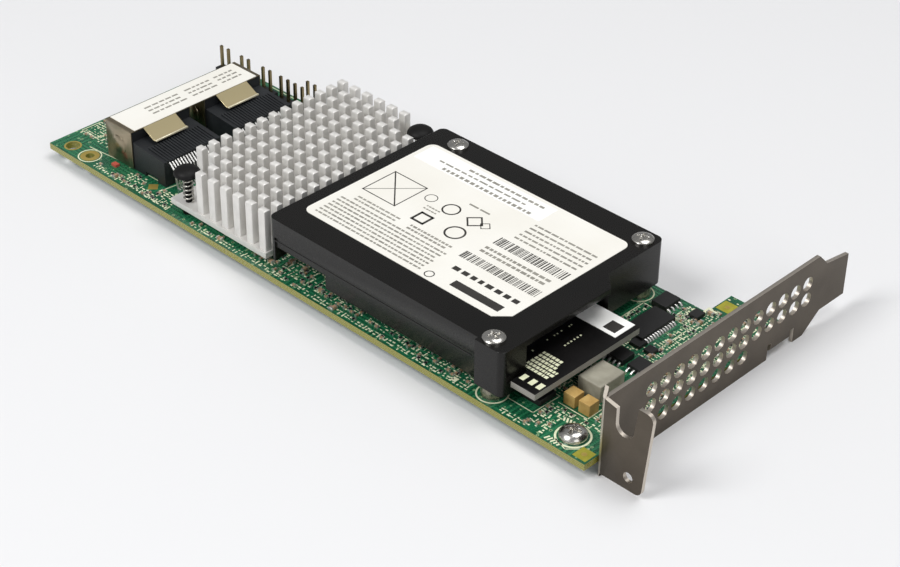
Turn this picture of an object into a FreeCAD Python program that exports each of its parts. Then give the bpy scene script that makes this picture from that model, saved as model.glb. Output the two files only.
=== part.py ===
"""Storage controller card with a battery pack: a low-profile expansion card, in millimetres.

Card axes while modelling: X runs along the board from the connector end to the bracket, Y from
the top edge to the slot edge, Z up from the underside of the board. Every sub-part then gets the
same Placement, which puts the origin under the middle of the whole card, on the level it rests on.
"""
import FreeCAD, Part
import Sketcher
import math
import os

SIZES = [
    # printed board
    ("board_length", 167.65, "board, connector end to bracket end"),
    ("board_thick", 1.57, "board"),
    ("board_main_width", 56.0, "board, top edge to the edge beside the tongue"),
    ("board_full_width", 64.42, "board, top edge to the slot edge"),
    ("ear_length", 14.95, "board ear beside the bracket, along the card"),
    ("key_from_bracket_end", 57.15, "middle of the key notch from the board's bracket end"),
    ("key_width", 1.9, "key notch"),
    ("key_depth", 8.0, "key notch"),
    ("tongue_short_side", 11.65, "slot tongue, notch to the bracket side"),
    ("tongue_long_side", 38.65, "slot tongue, notch to the connector side"),
    ("tongue_bevel", 1.0, "corner bevels of the tongue"),
    ("corner_hole_x", 4.9, "plated mounting hole"),
    ("corner_hole_y", 3.1, "plated mounting hole"),
    ("corner_hole_radius", 1.6, "plated mounting hole"),
    ("second_hole_x", 11.4, "second plated hole"),
    ("second_hole_radius", 1.0, "second plated hole"),
    ("screw_hole_radius", 1.6, "clearance holes for screws and push pins"),
    # edge fingers
    ("finger_pitch", 1.0, "contact fingers"),
    ("finger_width", 0.7, "contact fingers"),
    ("finger_length", 5.6, "contact fingers"),
    ("finger_thick", 0.05, "contact fingers"),
    ("finger_edge", 0.5, "fingers' ends from the slot edge"),
    ("fingers_short", 11.0, "fingers on the short side of the notch"),
    ("fingers_long", 38.0, "fingers on the long side of the notch"),
    # bracket
    ("bracket_gap", 0.3, "board end to the bracket plate"),
    ("sheet_thick", 0.9, "bracket sheet"),
    ("bend_inside", 0.4, "inside radius of the flange bend"),
    ("bracket_length", 79.2, "bracket, flange face to tail end"),
    ("bracket_width", 18.42, "bracket plate"),
    ("bracket_drop", 2.4, "plate's lower edge below the board's underside"),
    ("flange_low", 0.9, "flange's lower edge above the plate's"),
    ("flange_width", 20.0, "mounting flange, along its bend"),
    ("flange_depth", 12.0, "mounting flange, out from the plate"),
    ("flange_taper", 1.7, "how much less deep the flange is at its lower end"),
    ("flange_start", 3.0, "flange's outer face from the board's top edge"),
    ("flange_corner", 1.6, "round corners of the flange"),
    ("slot_from_plate", 6.35, "middle of the screw slot from the plate's inner face"),
    ("slot_width", 4.42, "screw slot"),
    ("slot_depth", 8.2, "screw slot, flange top to slot bottom"),
    ("slot_flare", 0.9, "screw slot's flare at its mouth"),
    ("flange_hole_radius", 1.15, "small hole at the flange's lower end"),
    ("flange_hole_in", 7.9, "small hole from the plate's inner face"),
    ("flange_hole_up", 3.0, "small hole from the flange's lower edge"),
    ("tail_width", 10.19, "narrow tail"),
    ("tail_rise", 3.9, "tail's lower edge above the plate's lower edge"),
    ("tail_length", 8.7, "tail, from the end of the shoulders"),
    ("shoulder_top", 3.0, "length of the upper shoulder's slope"),
    ("shoulder_drop", 3.1, "fall of the upper shoulder's slope"),
    ("shoulder_low", 5.4, "length of the lower shoulder's slope"),
    ("vent_radius", 1.6, "vent holes"),
    ("vent_pitch", 4.2, "vent holes"),
    ("vent_first", 17.6, "first vent column from the board's top edge"),
    ("vent_row_pitch", 3.95, "vent rows, one above the other"),
    ("vent_row_low", 5.25, "lowest vent row above the plate's lower edge"),
    ("vent_columns", 13.0, "holes in each of the two long rows"),
    ("vent_short_columns", 7.0, "holes in the short row"),
    ("tab_relief", 1.2, "width of the relief cuts beside the tabs"),
    ("relief_rise", 1.3, "top of the relief cuts above the board's underside"),
    ("near_tab_start", 5.9, "near tab's bend from the board's top edge"),
    ("near_tab_width", 5.4, "near tab's bend"),
    ("tab_reach", 11.6, "tabs, inward from the plate"),
    ("tab_neck", 3.6, "near tab's neck, plate to the wide head"),
    ("near_tab_head", 1.8, "near tab's head from the board's top edge"),
    ("far_tab_start", 57.0, "far tab's bend from the board's top edge"),
    ("far_tab_width", 6.5, "far tab's bend"),
    # bracket screw
    ("bracket_screw_in", 7.25, "bracket screw from the board's bracket end"),
    ("bracket_screw_y", 5.0, "bracket screw from the board's top edge"),
    ("screw_shank_radius", 1.45, "bracket screw"),
    ("screw_head_radius", 2.9, "bracket screw"),
    ("screw_head_tall", 1.9, "bracket screw"),
    ("screw_end", 0.4, "bracket screw's end below its tab"),
    ("fit_gap", 0.05, "clearance of small parts that fit"),
    # drive connectors
    ("shell_start", 14.2, "connector shell's mouth from the board's end"),
    ("shell_length", 9.3, "connector shell"),
    ("shell_gap", 4.6, "second shell's far side to the middle of the pin headers' first row"),
    ("shell_width", 17.6, "connector shell"),
    ("shell_tall", 9.85, "connector shell"),
    ("shell_wall", 0.3, "connector shell's sheet"),
    ("connector_pitch", 21.8, "first connector to the second"),
    ("mouth_depth", 5.8, "free depth inside the connector's mouth"),
    ("mating_slot_tall", 1.5, "slot for the plug's blade"),
    ("mating_slot_depth", 2.6, "slot for the plug's blade"),
    ("mating_slot_margin", 1.4, "slot's ends from the insert's sides"),
    ("emboss_size", 4.4, "octagonal emboss on the shell's side"),
    ("emboss_rise", 0.2, "octagonal emboss on the shell's side"),
    ("flap_inset", 3.7, "rear flap from the shell's near side"),
    ("flap_width", 9.5, "rear flap"),
    ("flap_reach", 3.5, "rear flap's slope"),
    ("flap_fall", 1.8, "rear flap's slope"),
    ("flap_lip", 0.9, "rear flap's level lip"),
    ("housing_length", 11.2, "connector housing behind its shell"),
    ("housing_inset", 0.4, "housing's side from the shell's side"),
    ("housing_tall", 7.2, "connector housing beside its shell"),
    ("housing_fall", 0.8, "fall of the housing's top to the rear"),
    ("housing_notch", 4.3, "cut-out under the housing"),
    ("housing_foot", 2.8, "housing's rear foot"),
    ("notch_rise", 1.1, "cut-out under the housing"),
    ("rib_width", 0.42, "ribs between the contacts on the housing's top"),
    ("rib_rise", 0.4, "ribs between the contacts on the housing's top"),
    ("tail_pitch", 0.8, "contact tails"),
    ("tail_count", 18.0, "contact tails of a connector"),
    ("tail_wide", 0.35, "contact tails"),
    ("tail_thick", 0.25, "contact tails"),
    ("tail_out", 2.6, "contact tails, housing to foot"),
    ("tail_knee_out", 1.8, "contact tails, housing to knee"),
    ("tail_knee_fall", 1.5, "contact tails, housing to knee"),
    ("tail_foot", 0.9, "contact tails' feet"),
    ("label_thick", 0.1, "paper labels"),
    ("top_label_inset", 1.2, "connector label from the shells' outer sides"),
    # heat sink
    ("sink_x", 42.3, "heat sink from the board's end"),
    ("sink_y", 2.3, "heat sink from the board's top edge"),
    ("sink_base", 1.4, "heat sink's base plate"),
    ("sink_margin", 0.4, "base plate outside the pins"),
    ("pin_long", 2.1, "sink pins, along the card"),
    ("pin_wide", 1.9, "sink pins, across the card"),
    ("pin_pitch_x", 4.15, "sink pins"),
    ("sink_far_gap", 0.6, "heat sink's far side from the board's edge"),
    ("pin_columns", 8.0, "sink pins along the card"),
    ("pin_rows", 15.0, "sink pins across the card"),
    ("pin_tall", 10.4, "sink pins above the base plate"),
    ("pin_crown", 0.5, "rounded top of a sink pin"),
    ("cleared_pins", 2.0, "pins left out each way at a push pin"),
    ("chip_tall", 1.0, "controller chip"),
    ("chip_side", 27.0, "controller chip"),
    ("die_side", 19.0, "controller chip's cap"),
    ("die_tall", 0.45, "controller chip's cap"),
    ("pad_thick", 0.28, "thermal pad"),
    # push pins
    ("push_inset", 4.0, "push pin's middle along the card, from the sink's end"),
    ("push_inset_y", 1.95, "push pin's middle across the card, from the sink's side"),
    ("push_shank_radius", 0.75, "push pin, inside its spring"),
    ("push_body_radius", 1.4, "push pin, in the board"),
    ("push_cap_radius", 3.1, "push pin"),
    ("push_cap_tall", 1.9, "push pin"),
    ("push_height", 9.0, "push pin's top above the sink's base plate"),
    ("barb_radius", 2.0, "push pin's barb"),
    ("barb_gap", 0.2, "barb below the board"),
    ("spring_radius", 1.1, "spring's mean radius"),
    ("spring_wire", 0.4, "spring's wire"),
    ("spring_turns", 6.0, "spring"),
    # battery pack
    ("cover_x", 76.0, "battery cover from the board's end"),
    ("cover_y", 2.0, "battery cover from the board's top edge"),
    ("cover_length", 69.0, "battery cover"),
    ("cover_far_gap", 1.0, "cover's far side from the board's edge"),
    ("cover_up", 2.6, "battery cover above the board"),
    ("cover_tall", 10.8, "battery cover"),
    ("cover_wall", 1.5, "battery cover"),
    ("cover_step_in", 4.0, "cover's far bracket-side corner, set back"),
    ("cover_step_length", 20.0, "cover's set-back stretch"),
    ("cover_corner", 1.6, "cover's round corners"),
    ("boss_out", 1.0, "near corner boss beyond the cover's side"),
    ("boss_length", 7.5, "near corner boss along the card"),
    ("head_side", 0.5, "straight share of a pan head's height"),
    ("head_flat", 0.7, "flat share of a pan head's radius"),
    ("emboss_side", 0.45, "side of the shell's emboss, as a share of its half width"),
    ("rib_end_share", 0.4, "rib's height at its rear end, as a share of its start"),
    ("tail_root", 1.3, "contact tail's depth where it leaves the housing, in thicknesses"),
    ("cap_side", 0.4, "straight share of a push-pin cap's height"),
    ("cap_flat", 0.6, "flat share of a push-pin cap's radius"),
    ("plug_rim", 0.3, "half the wall round the board plug's groove"),
    ("plug_bite", 0.25, "share of the receptacle's height that the plug's tongue enters"),
    ("lead_knee", 0.45, "bend of a chip lead, as a share of its reach"),
    ("cut_over", 1.0, "reach of a cut past what it cuts"),
    ("boss_radius", 2.8, "screw bosses"),
    ("side_step", 0.5, "step in the cover's near side"),
    ("side_step_rise", 6.1, "step's height"),
    ("side_notch_rise", 3.4, "cut-out in the near side"),
    ("side_notch_length", 15.2, "cut-out in the near side"),
    ("side_notch_start", 1.8, "cut-out in the near side"),
    ("board_window_start", 8.0, "opening for the battery board"),
    ("cover_screw_near_x", 140.1, "cover screw, near bracket corner"),
    ("cover_screw_near_y", 3.8, "cover screw, near bracket corner"),
    ("cover_screw_far_x", 138.1, "cover screw, far bracket corner"),
    ("cover_screw_far_in", 3.7, "far cover screws from the cover's far side"),
    ("cover_screw_left_x", 84.3, "cover screw, far connector-side corner"),
    ("cover_screw_radius", 1.1, "cover screws"),
    ("cover_head_radius", 2.8, "cover screws"),
    ("cover_head_tall", 1.05, "cover screws"),
    ("cover_screw_bite", 2.0, "cover screws in their standoffs"),
    ("standoff_radius", 2.4, "standoffs"),
    ("stack_height", 5.0, "main board to battery board"),
    ("battery_board_end", 152.0, "battery board's free end from the main board's end"),
    ("battery_board_start", 99.0, "battery board's inner end"),
    ("battery_board_near", 2.9, "battery board's near edge"),
    ("battery_board_far", 34.4, "battery board's far edge"),
    ("board_clear", 0.6, "battery board clear of the corner boss"),
    ("cell_margin", 3.0, "battery cell inside the cover"),
    ("cell_tall", 4.9, "battery cell"),
    ("seat_gap", 0.2, "loose seats"),
    ("mezz_x", 132.2, "board-to-board connector"),
    ("mezz_y", 11.0, "board-to-board connector"),
    ("mezz_length", 5.0, "board-to-board connector, along the card"),
    ("mezz_width", 18.0, "board-to-board connector, across the card"),
    ("mezz_tall", 2.6, "lower half of the board-to-board connector"),
    ("cover_label_margin", 3.4, "cover label from the cover's end"),
    ("cover_label_side", 6.8, "cover label from the cover's sides"),
    ("cover_label_length", 58.2, "cover label"),
    ("cover_label_clip", 3.0, "clipped corner of the cover label"),
    ("cover_label_corner", 2.0, "round corners of the cover label"),
    ("sticker_start", 140.2, "sticker on the battery board"),
    ("sticker_length", 10.6, "sticker on the battery board"),
    ("sticker_width", 6.2, "sticker on the battery board"),
    # small parts
    ("header_in", 5.6, "pin headers from the board's far edge"),
    ("header_second_in", 2.7, "second row of pin headers from the far edge"),
    ("header_pitch", 2.54, "pin headers"),
    ("header_base", 2.5, "pin headers' insulators"),
    ("header_pin", 0.64, "square pins"),
    ("header_pin_tall", 6.0, "pins above their insulators"),
    ("header_pin_tail", 1.1, "pins below the board"),
    ("header_first", 3.8, "first header"),
    ("header_next", 11.3, "second header"),
    ("header_third", 19.2, "third header"),
    ("header_fourth", 25.7, "fourth header, of four pins"),
    ("header_fifth", 32.1, "header in the second row"),
    ("inductor_x", 154.5, "inductor's middle"),
    ("inductor_y", 19.9, "inductor's middle"),
    ("inductor_length", 5.2, "inductor, along the card"),
    ("inductor_width", 6.4, "inductor, across the card"),
    ("inductor_tall", 4.1, "inductor"),
    ("inductor_corner", 0.9, "inductor's cut corners"),
    ("capacitor_x", 153.5, "first capacitor's middle"),
    ("capacitor_y", 12.9, "capacitors' middle"),
    ("capacitor_step", 3.9, "first capacitor to the second"),
    ("capacitor_length", 2.9, "capacitors"),
    ("capacitor_width", 2.9, "capacitors"),
    ("capacitor_tall", 2.8, "capacitors"),
    ("chip_body_tall", 1.35, "small chips' bodies"),
    ("chip_standoff", 0.1, "small chips' bodies above the board"),
    ("chip_lead", 1.05, "small chips' leads, out from the body"),
    ("chip_lead_wide", 0.45, "small chips' leads"),
    ("chip_lead_thick", 0.2, "small chips' leads"),
    ("chip_lead_pitch", 1.27, "small chips' leads"),
    ("chip_body_long", 4.9, "eight-lead chips' bodies"),
    ("chip_body_wide", 3.9, "eight-lead chips' bodies"),
    ("driver_x", 147.6, "bus driver chip's middle"),
    ("driver_in", 13.0, "bus driver chip's middle from the board's far edge"),
    ("driver_long", 10.8, "bus driver chip's body, across the card"),
    ("driver_wide", 5.6, "bus driver chip's body, along the card"),
    ("driver_lead_pitch", 0.8, "bus driver chip's leads"),
    ("monitor_x", 147.2, "battery monitor chip's middle"),
    ("monitor_y", 9.6, "battery monitor chip's middle"),
    ("monitor_side", 5.0, "battery monitor chip's body"),
    ("memory_long", 12.5, "memory chips"),
    ("memory_wide", 9.0, "memory chips"),
    ("memory_tall", 1.1, "memory chips"),
    ("memory_pitch", 10.2, "memory chips, one to the next"),
    ("memory_first", 80.5, "first memory chip"),
    ("memory_near", 12.0, "memory chips from the board's top edge"),
]

CHIP_PLACES = [("chip_one", 150.1, 25.3, 0), ("chip_two", 156.3, 25.3, 0), ("chip_three", 144.9, 4.0, 1)]
LEAD_ROW = 4
VENT_SIDES = 12
POST_SIDES = 16
SPRING_STEPS = 11
DRIVER_LEADS = 12
MEMORY_CHIPS = 5

doc = FreeCAD.newDocument("storage_controller_card")
sheet = doc.addObject("Spreadsheet::Sheet", "Sizes")


class Dim:
    """A size: its value and the spreadsheet expression that gives it."""

    def __init__(self, value, text):
        self.value = value
        self.text = text

    def __radd__(self, other):
        return dim(other) + self

    def __rsub__(self, other):
        return dim(other) - self

    def __add__(self, other):
        other = dim(other)
        return Dim(self.value + other.value, "(%s + %s)" % (self.text, other.text))

    def __sub__(self, other):
        other = dim(other)
        return Dim(self.value - other.value, "(%s - %s)" % (self.text, other.text))

    def __mul__(self, other):
        other = dim(other)
        return Dim(self.value * other.value, "%s * %s" % (self.text, other.text))

    def __truediv__(self, other):
        other = dim(other)
        return Dim(self.value / other.value, "%s / %s" % (self.text, other.text))

    def __neg__(self):
        return Dim(-self.value, "(0 - %s)" % self.text)


def dim(value):
    """Any number as a Dim."""
    if isinstance(value, Dim):
        return value
    return Dim(float(value), repr(float(value)))


class Sizes:
    """The spreadsheet's cells as Dims, by alias."""

    def __init__(self, rows):
        for row, (alias, value, note) in enumerate(rows, start=1):
            sheet.set("A%d" % row, note)
            sheet.set("B%d" % row, str(value))
            sheet.setAlias("B%d" % row, alias)
        doc.recompute()
        for alias, value, note in rows:
            setattr(self, alias, Dim(float(sheet.get(alias)), "Sizes." + alias))


def chip_rows():
    """Spreadsheet rows for the places of the eight-lead chips."""
    rows = []
    for name, x, inward, turned_chip in CHIP_PLACES:
        rows.append((name + "_x", x, "middle of a chip"))
        rows.append((name + "_in", inward, "middle of a chip from the board's far edge"))
    return rows


d = Sizes(SIZES + chip_rows())
parts = []

# places that several pieces share
board_top = d.board_thick
plate_in = d.board_length + d.bracket_gap
plate_out = plate_in + d.sheet_thick
flange_tip = plate_out + d.flange_depth
bracket_low = -d.bracket_drop
bracket_end = d.flange_start + d.bracket_length
key_mid = d.board_length - d.key_from_bracket_end
ear_start = d.board_length - d.ear_length
screw_x = d.board_length - d.bracket_screw_in
shell_end = d.shell_start + d.shell_length
shell_top = board_top + d.shell_tall
pins_length = (d.pin_columns - 1) * d.pin_pitch_x + d.pin_long
pins_width = d.board_main_width - d.sink_far_gap - d.sink_y - d.sink_margin * 2
pin_pitch_y = (pins_width - d.pin_wide) / (d.pin_rows - 1)
sink_length = pins_length + d.sink_margin * 2
sink_width = pins_width + d.sink_margin * 2
sink_low = board_top + d.chip_tall + d.pad_thick
sink_top = sink_low + d.sink_base
push_places = [
    ("a", d.sink_x + d.push_inset, d.sink_y + d.push_inset_y),
    ("b", d.sink_x + sink_length - d.push_inset, d.sink_y + sink_width - d.push_inset_y),
]
push_top = sink_top + d.push_height
cap_under = push_top - d.push_cap_tall
cover_low = board_top + d.cover_up
cover_top = cover_low + d.cover_tall
cover_end = d.cover_x + d.cover_length
cover_far = d.board_main_width - d.cover_far_gap
cover_screw_far = cover_far - d.cover_screw_far_in
cover_screws = [
    (d.cover_screw_near_x, d.cover_screw_near_y),
    (d.cover_screw_far_x, cover_screw_far),
    (d.cover_screw_left_x, cover_screw_far),
]
deck_low = board_top + d.stack_height
deck_top = deck_low + d.board_thick
header_row = d.board_main_width - d.header_in
header_second_row = d.board_main_width - d.header_second_in
shell_near = header_row - d.shell_gap - d.shell_width - d.connector_pitch
driver_y = d.board_main_width - d.driver_in
header_pins = [
    (d.header_first, header_row, 2),
    (d.header_next, header_row, 2),
    (d.header_third, header_row, 2),
    (d.header_fourth, header_row, 4),
    (d.header_fifth, header_second_row, 2),
]
origin_x = flange_tip / 2
origin_y = bracket_end / 2


def bind(obj, prop, value):
    """Bind one property of an object to the spreadsheet."""
    obj.setExpression(prop, dim(value).text)


def place(obj, label, at=(0, 0, 0)):
    """Name a finished sub-part and put it, from its place on the board, in the card's own frame."""
    base = (at[0] - origin_x, at[1] - origin_y, at[2] + d.bracket_drop)
    obj.Placement = FreeCAD.Placement(FreeCAD.Vector(*[c.value for c in base]), FreeCAD.Rotation())
    for axis, value in zip("xyz", base):
        bind(obj, "Placement.Base." + axis, value)
    obj.Label = label
    parts.append(obj)
    return obj


def new_body(name):
    """An empty body, which may hold separate solids."""
    body = doc.addObject("PartDesign::Body", name)
    body.AllowCompound = True
    return body


PLANES = {"z": "XY_Plane", "x": "YZ_Plane", "y": "XZ_Plane"}


def new_sketch(body, name, axis, low, high):
    """A sketch on an origin plane, moved to where its prism starts along the axis."""
    plane = [f for f in body.Origin.OriginFeatures if f.Role == PLANES[axis]][0]
    sketch = body.newObject("Sketcher::SketchObject", name)
    sketch.AttachmentSupport = [(plane, "")]
    sketch.MapMode = "FlatFace"
    start = -dim(high) if axis == "y" else dim(low)
    sketch.AttachmentOffset = FreeCAD.Placement(FreeCAD.Vector(0, 0, start.value), FreeCAD.Rotation())
    bind(sketch, "AttachmentOffset.Base.z", start)
    return sketch


def fix_point(sketch, geometry, point, x, y):
    """Hold one point of a sketch at two sizes."""
    for kind, value in (("DistanceX", dim(x)), ("DistanceY", dim(y))):
        index = sketch.addConstraint(Sketcher.Constraint(kind, geometry, point, value.value))
        bind(sketch, "Constraints[%d]" % index, value)


def draw_polygon(sketch, points):
    """A closed outline of straight lines through the points."""
    first = sketch.GeometryCount
    flat = [FreeCAD.Vector(dim(x).value, dim(y).value, 0) for x, y in points]
    count = len(flat)
    for i in range(count):
        sketch.addGeometry(Part.LineSegment(flat[i], flat[(i + 1) % count]), False)
    for i in range(count):
        sketch.addConstraint(Sketcher.Constraint("Coincident", first + i, 2, first + (i + 1) % count, 1))
    for i, (x, y) in enumerate(points):
        fix_point(sketch, first + i, 1, x, y)


def draw_circle(sketch, x, y, radius):
    """A circle of a given radius."""
    centre = FreeCAD.Vector(dim(x).value, dim(y).value, 0)
    index = sketch.addGeometry(Part.Circle(centre, FreeCAD.Vector(0, 0, 1), dim(radius).value), False)
    fix_point(sketch, index, 3, x, y)
    number = sketch.addConstraint(Sketcher.Constraint("Radius", index, dim(radius).value))
    bind(sketch, "Constraints[%d]" % number, radius)


def rectangle(x0, x1, y0, y1):
    """Corners of a rectangle, in order."""
    return [(x0, y0), (x1, y0), (x1, y1), (x0, y1)]


def many_sided(x, y, radius, sides):
    """Corners of an even many-sided outline whose flats touch a circle of the radius."""
    corners = []
    reach = 1 / math.cos(math.pi / sides)
    for i in range(sides):
        angle = 2 * math.pi * (i + 0.5) / sides
        corners.append((x + radius * (reach * math.cos(angle)), y + radius * (reach * math.sin(angle))))
    return corners


def prism(body, name, axis, low, high, polygons=(), circles=(), cut=False):
    """Pad or pocket of outlines between two levels along an axis.

    Outlines are in (X, Y) for axis z, (Y, Z) for axis x and (X, Z) for axis y.
    """
    sketch = new_sketch(body, name + "_sketch", axis, low, high)
    for points in polygons:
        draw_polygon(sketch, points)
    for x, y, radius in circles:
        draw_circle(sketch, x, y, radius)
    kind = "PartDesign::Pocket" if cut else "PartDesign::Pad"
    feature = body.newObject(kind, name)
    feature.Profile = sketch
    feature.Length = (dim(high) - dim(low)).value
    feature.Reversed = cut
    bind(feature, "Length", dim(high) - dim(low))
    return feature


def turned(body, name, x, y, profile):
    """A piece turned about the vertical line through (x, y); profile is (radius, Z)."""
    sketch = new_sketch(body, name + "_sketch", "y", y, y)
    draw_polygon(sketch, [(dim(x) + radius, level) for radius, level in profile])
    axis = sketch.addGeometry(Part.LineSegment(
        FreeCAD.Vector(dim(x).value, -1, 0), FreeCAD.Vector(dim(x).value, 1, 0)), True)
    sketch.addConstraint(Sketcher.Constraint("Vertical", axis))
    number = sketch.addConstraint(Sketcher.Constraint("DistanceX", axis, 1, dim(x).value))
    bind(sketch, "Constraints[%d]" % number, x)
    feature = body.newObject("PartDesign::Revolution", name)
    feature.Profile = sketch
    feature.ReferenceAxis = (sketch, ["Axis0"])
    feature.Angle = 360
    return feature


def repeat(body, feature, name, role, pitch, count):
    """Copies of a feature along one of the body's axes."""
    axis = [f for f in body.Origin.OriginFeatures if f.Role == role][0]
    pattern = body.newObject("PartDesign::LinearPattern", name)
    pattern.Originals = [feature]
    pattern.Direction = (axis, [""])
    pattern.Occurrences = int(round(dim(count).value))
    bind(pattern, "Occurrences", count)
    pattern.Length = (dim(pitch) * (dim(count) - 1)).value
    bind(pattern, "Length", dim(pitch) * (dim(count) - 1))
    body.Tip = pattern
    return pattern


def edges_along(feature, axis, spots):
    """Names of a feature's straight edges along an axis that pass through given spots."""
    doc.recompute()
    others = {"x": (1, 2), "y": (0, 2), "z": (0, 1)}[axis]
    found = []
    for number, edge in enumerate(feature.Shape.Edges, start=1):
        ends = [edge.firstVertex().Point, edge.lastVertex().Point]
        for spot in spots:
            near = [abs(p[o] - dim(s).value) < 0.001 for p in ends for o, s in zip(others, spot)]
            if all(near):
                found.append("Edge%d" % number)
    return found


def round_edges(body, feature, name, axis, spots, radius):
    """A fillet on straight edges along an axis."""
    fillet = body.newObject("PartDesign::Fillet", name)
    fillet.Base = (feature, edges_along(feature, axis, spots))
    fillet.Radius = dim(radius).value
    bind(fillet, "Radius", radius)
    return fillet


def bevel_edges(body, feature, name, axis, spots, size):
    """A chamfer on straight edges along an axis."""
    chamfer = body.newObject("PartDesign::Chamfer", name)
    chamfer.Base = (feature, edges_along(feature, axis, spots))
    chamfer.Size = dim(size).value
    bind(chamfer, "Size", size)
    return chamfer


def block(name, x0, x1, y0, y1, z0, z1):
    """A plain box between three pairs of levels, bound to the spreadsheet."""
    box = doc.addObject("Part::Box", name)
    for prop, low, high in (("Length", x0, x1), ("Width", y0, y1), ("Height", z0, z1)):
        setattr(box, prop, (dim(high) - dim(low)).value)
        bind(box, prop, dim(high) - dim(low))
    box.Placement.Base = FreeCAD.Vector(dim(x0).value, dim(y0).value, dim(z0).value)
    for axis, value in zip("xyz", (x0, y0, z0)):
        bind(box, "Placement.Base." + axis, value)
    return box


def group(label, pieces):
    """One node made of several separate solids."""
    compound = doc.addObject("Part::Compound", label)
    compound.Links = pieces
    return place(compound, label)


def main_board():
    """The printed board: outline with slot tongue and bracket ear, key notch and its holes."""
    body = new_body("main_board")
    tongue_0 = key_mid - d.key_width / 2 - d.tongue_long_side
    tongue_1 = key_mid + d.key_width / 2 + d.tongue_short_side
    outline = [
        (0, 0), (d.board_length, 0), (d.board_length, d.board_full_width),
        (ear_start, d.board_full_width), (ear_start, d.board_main_width),
        (tongue_1, d.board_main_width), (tongue_1, d.board_full_width),
        (tongue_0, d.board_full_width), (tongue_0, d.board_main_width), (0, d.board_main_width),
    ]
    plate = prism(body, "board_plate", "z", 0, board_top, polygons=[outline])
    corners = [(tongue_0, d.board_full_width), (tongue_1, d.board_full_width)]
    bevel_edges(body, plate, "tongue_corners", "z", corners, d.tongue_bevel)
    notch = rectangle(key_mid - d.key_width / 2, key_mid + d.key_width / 2,
                      d.board_full_width - d.key_depth, d.board_full_width + d.cut_over)
    prism(body, "key_notch", "z", 0, board_top, polygons=[notch], cut=True)
    holes = [
        (d.corner_hole_x, d.corner_hole_y, d.corner_hole_radius),
        (d.second_hole_x, d.corner_hole_y, d.second_hole_radius),
        (screw_x, d.bracket_screw_y, d.screw_hole_radius),
    ]
    holes += [(x, y, d.screw_hole_radius) for tag, x, y in push_places]
    prism(body, "round_holes", "z", 0, board_top, circles=holes, cut=True)
    reach = d.header_pin / 2 + d.fit_gap
    slots = []
    for x, y, count in header_pins:
        for i in range(count):
            mid = x + d.header_pitch * i
            slots.append(rectangle(mid - reach, mid + reach, y - reach, y + reach))
    prism(body, "pin_holes", "z", 0, board_top, polygons=slots, cut=True)
    return place(body, "main_board")


def edge_fingers():
    """Gilded contact fingers on both faces of the tongue, either side of the key notch."""
    body = new_body("edge_fingers")
    y1 = d.board_full_width - d.finger_edge
    y0 = y1 - d.finger_length
    faces = (("top", board_top, board_top + d.finger_thick), ("under", -d.finger_thick, dim(0)))
    margin = (d.finger_pitch - d.finger_width) / 2
    inset = (d.tongue_short_side - d.fingers_short * d.finger_pitch) / 2
    starts = (
        ("short", key_mid + d.key_width / 2 + inset + margin, d.fingers_short),
        ("long", key_mid - d.key_width / 2 - inset - d.fingers_long * d.finger_pitch + margin,
         d.fingers_long),
    )
    for face, low, high in faces:
        for side, start, count in starts:
            name = "finger_%s_%s" % (face, side)
            strip = rectangle(start, start + d.finger_width, y0, y1)
            finger = prism(body, name, "z", low, high, polygons=[strip])
            repeat(body, finger, name + "_row", "X_Axis", d.finger_pitch, count)
    return place(body, "edge_fingers")


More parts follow.
